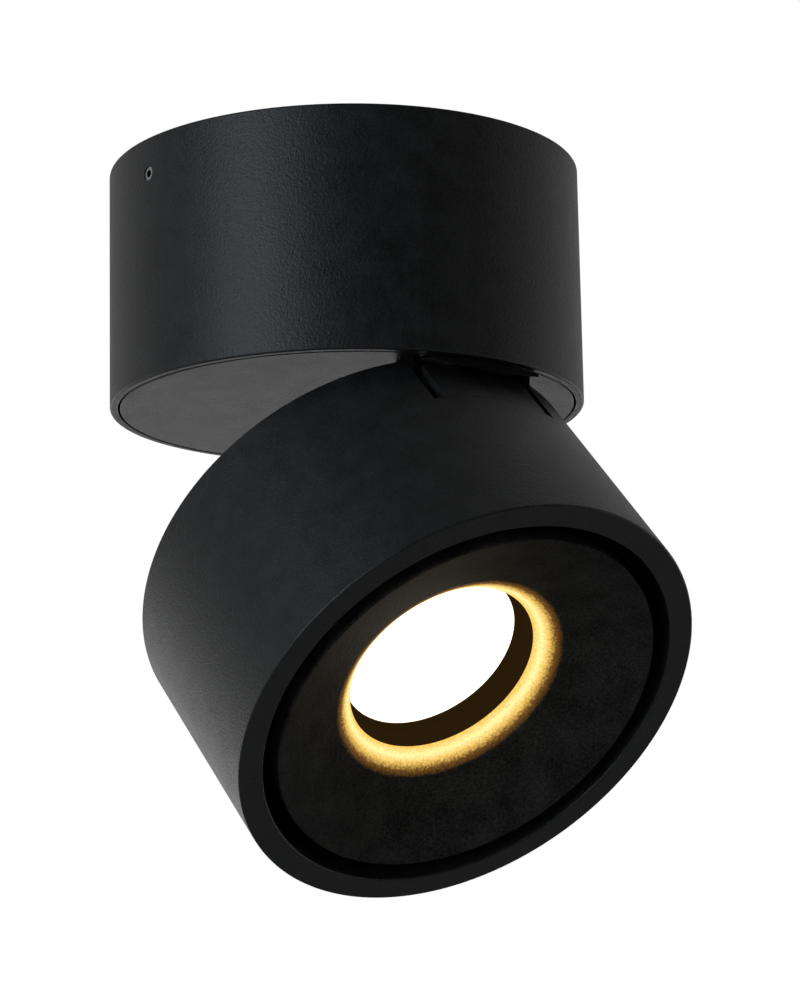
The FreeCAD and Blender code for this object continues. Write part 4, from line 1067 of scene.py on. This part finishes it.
@dataclass(frozen=True)
class Turntable:
    """The flush disc in the can's underside, with the hinge's yoke and the saddle between its ears."""

    layout: Layout
    radius: float = 47.9
    thickness: float = 3.0
    hub_radius: float = 14.0
    hub_top: float = -40.8
    flange_radius: float = 8.05
    flange_depth: float = 1.5
    bore: float = 5.05
    yoke_half: float = 15.05
    yoke_face: float = 42.65
    yoke_inner: float = 24.95
    yoke_depth: float = 2.0
    screw_x: float = 9.0
    screw_y: float = -28.5
    window: float = 1.6
    bridge: float = 1.2
    stop_place: float = 30.0
    stop_radius: float = 1.5
    stop_height: float = 7.0
    stop_root: float = 0.5
    hub_edge: float = 0.4
    flange_edge: float = 0.15
    post_edge: float = 0.3
    rim_share: float = 0.7
    bevel: float = 0.12
    cast_bevel: float = 0.18
    ear_inner: float = 13.4
    saddle_hollow: float = 9.7
    saddle_front: float = 49.3
    saddle_back: float = 39.8
    saddle_sole: float = 4.0
    saddle_tuck: float = 0.2
    saddle_over: float = 5.0
    lip_clearance: float = 0.6

    def build(self) -> None:
        """Make and dress the turntable's visible pieces."""
        self.build_disc()
        self.build_yoke()

    def build_disc(self) -> None:
        """Make the disc and its stop post."""
        size, edge = self.layout, self.layout.edge
        bottom = -size.can_height
        top = bottom + self.thickness
        disc = lathe("turntable_plate", [
            Corner(self.flange_radius, bottom, self.flange_edge),
            Corner(self.radius, bottom, edge * self.rim_share), Corner(self.radius, top),
            Corner(self.hub_radius, top), Corner(self.hub_radius, self.hub_top, self.hub_edge),
            Corner(self.bore, self.hub_top), Corner(self.bore, bottom + self.flange_depth),
            Corner(self.flange_radius, bottom + self.flange_depth),
        ])
        seat = block("seat", (-self.yoke_half, -self.yoke_face, bottom - OVER),
                     (self.yoke_half, -self.yoke_inner, bottom + self.yoke_depth))
        window = block("window", (-self.window, -self.hub_radius - OVER, top),
                       (self.window, 0, self.hub_top - self.bridge))
        holes = [
            drill((x, self.screw_y, top), size.screw_clear, self.thickness, size.screw_wide, size.screw_sink)
            for x in (-self.screw_x, self.screw_x)
        ]
        lead_hole = drill((0, -size.lead_exit, bottom), size.bush_radius, self.thickness + OVER)
        cut(disc, [seat, window, lead_hole, *holes])
        soften(disc, self.bevel)
        dress(disc, Body.TURNTABLE, Slot.PAINT, "turntable_disc")
        root, tip = top - self.stop_root, top + self.stop_height
        post = lathe("pan_stop_post", [
            Corner(0, root), Corner(self.stop_radius, root), Corner(self.stop_radius, tip, self.post_edge),
            Corner(0, tip),
        ], SMALL_STEPS)
        post.data.transform(Matrix.Translation((self.stop_place * MM, 0, 0)))
        dress(post, Body.TURNTABLE, Slot.PAINT)

    def build_yoke(self) -> None:
        """Make the yoke, and the hollow saddle that closes the space between its ears."""
        yoke = copy_node("hinge_yoke", "hinge_yoke_cast")
        soften(yoke, self.cast_bevel)
        # The yoke takes the darker hinge finish, which paints shade.
        dress(yoke, Body.TURNTABLE, Slot.PAINT, "hinge_yoke", look=Slot.HINGE)
        size, out = self.layout, self.layout.radius + self.saddle_over
        bottom, axis = -size.can_height, -size.can_height - size.hinge_drop
        saddle = block("hinge_saddle", (-self.ear_inner, -out, axis + self.saddle_sole),
                       (self.ear_inner, -self.saddle_back, bottom))
        hollow = drill((0, -size.hinge_reach, axis), self.saddle_hollow, self.ear_inner + OVER, along="X")
        under_lip, high = bottom - self.lip_clearance, bottom + OVER
        rings = [
            lathe("cutter", [
                Corner(inner, low), Corner(out * 2, low), Corner(out * 2, high), Corner(inner, high),
            ])
            for inner, low in ((self.radius - self.saddle_tuck, under_lip), (self.saddle_front, axis))
        ]
        cut(saddle, [hollow, *rings])
        soften(saddle, self.bevel)
        # The saddle takes the darker hinge finish, which paints shade.
        dress(saddle, Body.TURNTABLE, Slot.PAINT, look=Slot.HINGE)


@dataclass(frozen=True)
class Head:
    """The folding head: casing, funnel baffle, lit diffuser, knuckle and back screws."""

    layout: Layout
    height: float = 50.0
    rim: float = 5.2
    back: float = 3.0
    notch_half: float = 15.3
    notch_inner: float = 36.3
    notch_floor: float = -13.478
    post_ring: float = 38.0
    post_degs: tuple[float, ...] = (90, 210, 330)
    knuckle_screw_x: float = 7.5
    knuckle_screw_y: float = -25.5
    groove: float = 3.4
    trim_recess: float = 0.3
    trim_wall: float = 1.6
    throat: float = 20.4
    lip_radius: float = 13.0
    lip_start: float = -36.97
    flange: float = 1.3
    flange_depth: float = 0.8
    funnel_deg: float = 28.0
    sink_front: float = -18.278
    diffuser_front: float = -31.0
    diffuser_thickness: float = 1.5
    diffuser_radius: float = 23.0
    wall_band: float = 0.02
    bevel: float = 0.15
    screw_bevel: float = 0.1
    pipe_edge: float = 0.3
    flange_edge: float = 0.2
    face_edge: float = 0.35
    sink_screw: float = 11.0
    knuckle_screw: float = 7.0

    def carried(self, made: Piece) -> Piece:
        """Carry a piece made closed to the opened pose."""
        made.data.transform(self.layout.head_matrix())
        return made

    def build(self) -> None:
        """Make and dress the head's visible pieces."""
        self.build_casing()
        self.build_baffle()
        self.build_diffuser()
        self.build_fasteners()

    def build_casing(self) -> None:
        """Make the casing and the knuckle in its notch."""
        size, edge = self.layout, self.layout.edge
        face, inside = -self.height, size.radius - self.rim
        casing = lathe("head_shell", [
            Corner(0, -self.back), Corner(inside, -self.back), Corner(inside, face, edge),
            Corner(size.radius, face, edge), Corner(size.radius, 0, edge), Corner(0, 0),
        ])
        notch = block("notch", (-self.notch_half, -size.radius - OVER, self.notch_floor),
                      (self.notch_half, -self.notch_inner, OVER))
        posts = [(self.post_ring * math.cos(math.radians(a)), self.post_ring * math.sin(math.radians(a)), 0)
                 for a in self.post_degs]
        knuckle = [(x, self.knuckle_screw_y, 0) for x in (-self.knuckle_screw_x, self.knuckle_screw_x)]
        holes = [drill(place, size.screw_clear, self.back + OVER, size.screw_wide, size.screw_sink)
                 for place in posts + knuckle]
        lead_hole = drill((0, -size.lead_exit, 0), size.bush_radius, self.back + OVER)
        cut(casing, [notch, lead_hole, *holes])
        soften(casing, self.bevel)
        dress(self.carried(casing), Body.HEAD, Slot.PAINT, "head_casing")
        cast = copy_node("hinge_knuckle", "hinge_knuckle_cast")
        soften(cast, self.bevel)
        dress(cast, Body.HEAD, Slot.PAINT, "hinge_knuckle")

    def build_baffle(self) -> None:
        """Make the funnel with its rounded throat and deep skirt."""
        angle = math.radians(self.funnel_deg)
        outer = self.layout.radius - self.rim - self.groove
        front = -self.height + self.trim_recess
        slope = math.tan(angle)
        meeting = front + (outer - self.throat) * slope
        skin = self.trim_wall / math.cos(angle)
        inner, pipe = outer - self.trim_wall, self.throat + self.trim_wall
        flange_end = self.diffuser_front - self.flange_depth

        def behind(radius: float) -> float:
            """Return the level of the funnel's back at a radius."""
            return front + (outer - radius) * slope + skin

        baffle = lathe("baffle_funnel", [
            Corner(outer, self.sink_front), Corner(inner, self.sink_front), Corner(inner, behind(inner)),
            Corner(pipe, behind(pipe)), Corner(pipe, self.diffuser_front, self.pipe_edge),
            Corner(self.throat - self.flange, self.diffuser_front),
            Corner(self.throat - self.flange, flange_end, self.flange_edge), Corner(self.throat, flange_end),
            *self.lip(meeting, angle), Corner(outer, front, self.face_edge),
        ])
        soften(baffle, 0.0)
        dress(self.carried(baffle), Body.HEAD, Slot.BAFFLE, "baffle_trim")
        self.paint_throat_shade(baffle)

    def lip(self, meeting: float, angle: float, steps: int = 12) -> list[Corner]:
        """Return the lip between throat and funnel: a crisp edge, then an arc that runs into the funnel.

        Args:
            meeting: The level at which the throat's wall and the funnel would meet.
            angle: The funnel's slope.
            steps: Straight pieces in the arc.

        Returns:
            The arc's points from the crisp edge outwards.
        """
        rise, radius = self.lip_start - meeting, self.lip_radius
        back, up = rise * math.sin(angle), rise * math.cos(angle)
        reach = math.sqrt(radius * radius - (radius - up) ** 2) - back
        centre = Vector((
            self.throat + reach * math.cos(angle) + radius * math.sin(angle),
            meeting - reach * math.sin(angle) + radius * math.cos(angle),
        ))
        first = Vector((self.throat, self.lip_start)) - centre
        last = -radius * Vector((math.sin(angle), math.cos(angle)))
        start, end = first.normalized(), last.normalized()
        arc = (centre + start.slerp(end, step / steps) * radius for step in range(steps + 1))
        return [Corner(point.x, point.y) for point in arc]

    def paint_throat_shade(self, baffle: Piece) -> None:
        """Give the baffle's straight throat wall its darker, duller finish, which paints shade and a faint glow
        there.

        Args:
            baffle: The baffle, at the opened pose.
        """
        baffle.data.materials.append(FINISHES[Slot.THROAT].material())
        closing = self.layout.head_matrix().inverted()
        for face in baffle.data.polygons:
            centre = closing @ face.center / MM
            face.material_index = int(math.hypot(centre.x, centre.y) < self.throat + self.wall_band)

    def build_diffuser(self) -> None:
        """Make the lit opal disc."""
        front, back = self.diffuser_front, self.diffuser_front + self.diffuser_thickness
        opal = lathe("opal_disc", [
            Corner(0, front), Corner(self.diffuser_radius, front, self.pipe_edge),
            Corner(self.diffuser_radius, back, self.pipe_edge), Corner(0, back),
        ], DISC_STEPS)
        soften(opal, 0.0)
        dress(self.carried(opal), Body.HEAD, Slot.OPAL, "diffuser")

    def build_fasteners(self) -> None:
        """Make the screws in the head's back."""
        sink = Screws(
            "heat_sink_screw_set", len(self.post_degs), self.post_ring, self.post_degs[0], 0, self.sink_screw,
        ).build()
        knuckle = Screws(
            "knuckle_screw_set", 2, self.knuckle_screw_x, 0, 0, self.knuckle_screw,
            centre_y=self.knuckle_screw_y,
        ).build()
        for made, node in ((sink, "heat_sink_screws"), (knuckle, "knuckle_screws")):
            soften(made, self.screw_bevel)
            dress(self.carried(made), Body.HEAD, Slot.ZINC, node)


@dataclass(frozen=True)
class HingeLead:
    """The short lead that crosses from the turntable's bush to the head's bush."""

    layout: Layout
    radius: float = 1.15
    straight: float = 3.0
    steps: int = 40
    round_steps: int = 5

    def build(self) -> None:
        """Make the lead as a tube along one smooth curve, shaped for the opened pose."""
        size = self.layout
        carry = size.head_matrix()
        start = Vector((0, -size.lead_exit, -size.can_height)) * MM
        end = carry @ (Vector((0, -size.lead_exit, 0)) * MM)
        upright = Vector((0, 0, self.straight * MM))
        curve = bpy.data.curves.new("hinge_lead", "CURVE")
        curve.dimensions, curve.use_fill_caps = "3D", True
        curve.bevel_depth, curve.bevel_resolution = self.radius * MM, self.round_steps
        curve.resolution_u = self.steps
        spline = curve.splines.new("BEZIER")
        spline.bezier_points.add(1)
        handles = ((start, upright), (end, carry.to_3x3() @ upright))
        for point, (place, way) in zip(spline.bezier_points, handles):
            point.co = place
            point.handle_left_type = point.handle_right_type = "FREE"
            point.handle_left = place + way
            point.handle_right = place + way
        spline.bezier_points[0].handle_right = start - upright
        made = linked("hinge_lead", curve)
        bpy.context.view_layer.update()
        mesh = bpy.data.meshes.new_from_object(made.evaluated_get(bpy.context.evaluated_depsgraph_get()))
        bpy.data.objects.remove(made)
        piece = linked("hinge_lead", mesh)
        mesh.materials.clear()
        mesh.materials.append(FINISHES[Slot.LEAD].material())
        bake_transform(piece)
        LOG.info("hinge_lead: %d faces, blended", len(mesh.polygons))


def dress_kept_nodes() -> None:
    """Give every CAD node that is still shown its slot's finish, and give the hinge's axle and washers the
    darker hinge finish, which paints shade.
    """
    slots = {item["node"]: Slot(item["material_slot"]) for item in frame["record"]["subparts"]}
    # Painted shade: the axle and washers take the hinge's darker finish.
    slots.update({"hinge_axle": Slot.HINGE, "hinge_washers": Slot.HINGE})
    for name, node in frame["nodes"].items():
        material = FINISHES[slots[name]].material()
        if not node.material_slots:
            node.data.materials.append(material)
        for place in node.material_slots:
            place.material = material
        LOG.info("%s: CAD node, %s", name, material.name)


# --- Stage ---
@dataclass(frozen=True)
class Camera:
    """The photograph's viewpoint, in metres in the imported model's frame."""

    place: Colour = (-0.426534, -0.574871, -0.228424)
    right: Colour = (0.796357, -0.604544, -0.018513)
    down: Colour = (0.115721, 0.182338, -0.976402)
    forward: Colour = (0.593653, 0.775422, 0.215164)
    lens: float = 125.627
    sensor: float = 36.0
    near: float = 0.01
    far: float = 50.0

    def build(self) -> None:
        """Make the camera and make it the scene's."""
        data = bpy.data.cameras.new("camera")
        data.lens, data.sensor_fit = self.lens, "VERTICAL"
        data.sensor_height = data.sensor_width = self.sensor
        data.clip_start, data.clip_end = self.near, self.far
        camera = linked("camera", data)
        columns = (Vector(self.right), -Vector(self.down), -Vector(self.forward))
        turn = Matrix([list(column) for column in columns]).transposed()
        camera.matrix_world = Matrix.Translation(self.place) @ turn.to_4x4()
        bpy.context.scene.camera = camera


@dataclass(frozen=True)
class Softbox:
    """A soft rectangular lamp that faces the object."""

    name: str
    place: Colour
    width: float
    height: float
    power: float
    colour: Colour = (1.0, 1.0, 1.0)
    aim: Colour = (0.0, 0.0, -0.07)

    def build(self) -> None:
        """Make the lamp."""
        data = bpy.data.lights.new(self.name, "AREA")
        data.shape, data.size, data.size_y = "RECTANGLE", self.width, self.height
        data.energy, data.color = self.power, self.colour
        lamp = linked(self.name, data)
        lamp.location = self.place
        lamp.rotation_euler = (Vector(self.aim) - Vector(self.place)).to_track_quat("-Z", "Y").to_euler()


@dataclass(frozen=True)
class Studio:
    """White surroundings behind the object, dim ones on the camera's side, a softbox and a pale floor."""

    floor_level: float = -1.1
    floor_half: float = 4.0
    floor_grey: float = 0.55
    floor_white: float = 0.85
    behind: Colour = (0.608, 0.794, 0.0)
    dim: float = 0.02
    upper: float = 0.36
    lower: float = 1.7
    ambient: float = 0.22
    horizon: tuple[float, float] = (0.46, 0.56)
    around: tuple[float, float] = (0.3, 0.8)
    lamps: tuple[Softbox, ...] = (
        Softbox("key_softbox", (-1.184, -0.198, 0.05), 0.62, 0.9, 5.5, (0.84, 0.92, 1.0)),
    )

    def build(self) -> None:
        """Make the world, the lamps and the floor."""
        self.build_world()
        for lamp in self.lamps:
            lamp.build()
        self.build_floor()
        bpy.context.scene.view_settings.view_transform = "Standard"

    def build_world(self) -> None:
        """Show white to the camera, and white behind the object to reflections."""
        world = bpy.data.worlds.new("studio")
        bpy.context.scene.world = world
        world.use_nodes = True
        shader = Shader(world.node_tree)
        way = shader.value("ShaderNodeTexCoord", {}, {}, "Generated")
        facing = shader.value(
            "ShaderNodeVectorMath", {"operation": "DOT_PRODUCT"}, {0: way, 1: self.behind}, "Value",
        )
        height = shader.value("ShaderNodeSeparateXYZ", {}, {0: way}, "Z")
        level = shader.ramp(height * -0.5 + 0.5, *self.horizon) * (self.lower - self.upper) + self.upper
        backdrop = shader.ramp(facing * 0.5 + 0.5, *self.around) * level + self.dim
        path = shader.add("ShaderNodeLightPath", {}, {})
        rays = ("Is Camera Ray", "Is Glossy Ray", "Is Transmission Ray")
        camera, glossy, through = (Value(shader, path.outputs[name]) for name in rays)
        mirrored = glossy.larger(through)
        strength = camera + (1 - camera) * (mirrored * backdrop + (1 - mirrored) * self.ambient)
        light = shader.value("ShaderNodeBackground", {}, {"Color": (1, 1, 1, 1), "Strength": strength})
        shader.add("ShaderNodeOutputWorld", {}, {"Surface": light})

    def build_floor(self) -> None:
        """Make the pale floor far below, white to the camera apart from its shadows."""
        work = bmesh.new()
        bmesh.ops.create_grid(work, x_segments=1, y_segments=1, size=self.floor_half,
                              matrix=Matrix.Translation((0, 0, self.floor_level)))
        floor = finish_mesh(work, "floor")
        material = bpy.data.materials.new("pale_floor")
        material.use_nodes = True
        shader = Shader(material.node_tree)
        camera = shader.value("ShaderNodeLightPath", {}, {}, "Is Camera Ray")
        matt = shader.value("ShaderNodeBsdfDiffuse", {}, {"Color": (*[self.floor_grey] * 3, 1)})
        white = shader.value("ShaderNodeEmission", {}, {"Color": (1, 1, 1, 1), "Strength": 1.0})
        mixed = shader.value("ShaderNodeMixShader", {}, {0: camera * self.floor_white, 1: matt, 2: white})
        shader.add("ShaderNodeOutputMaterial", {}, {"Surface": mixed})
        floor.data.materials.append(material)


def main() -> None:
    """Dress the frame, build the other pieces and set the stage."""
    logging.basicConfig(level=logging.INFO, format="%(message)s")
    dress_kept_nodes()
    layout = Layout()
    for assembly in (Canopy(layout), Turntable(layout), Head(layout), HingeLead(layout), Camera(), Studio()):
        assembly.build()


if __name__ == "__main__":
    main()
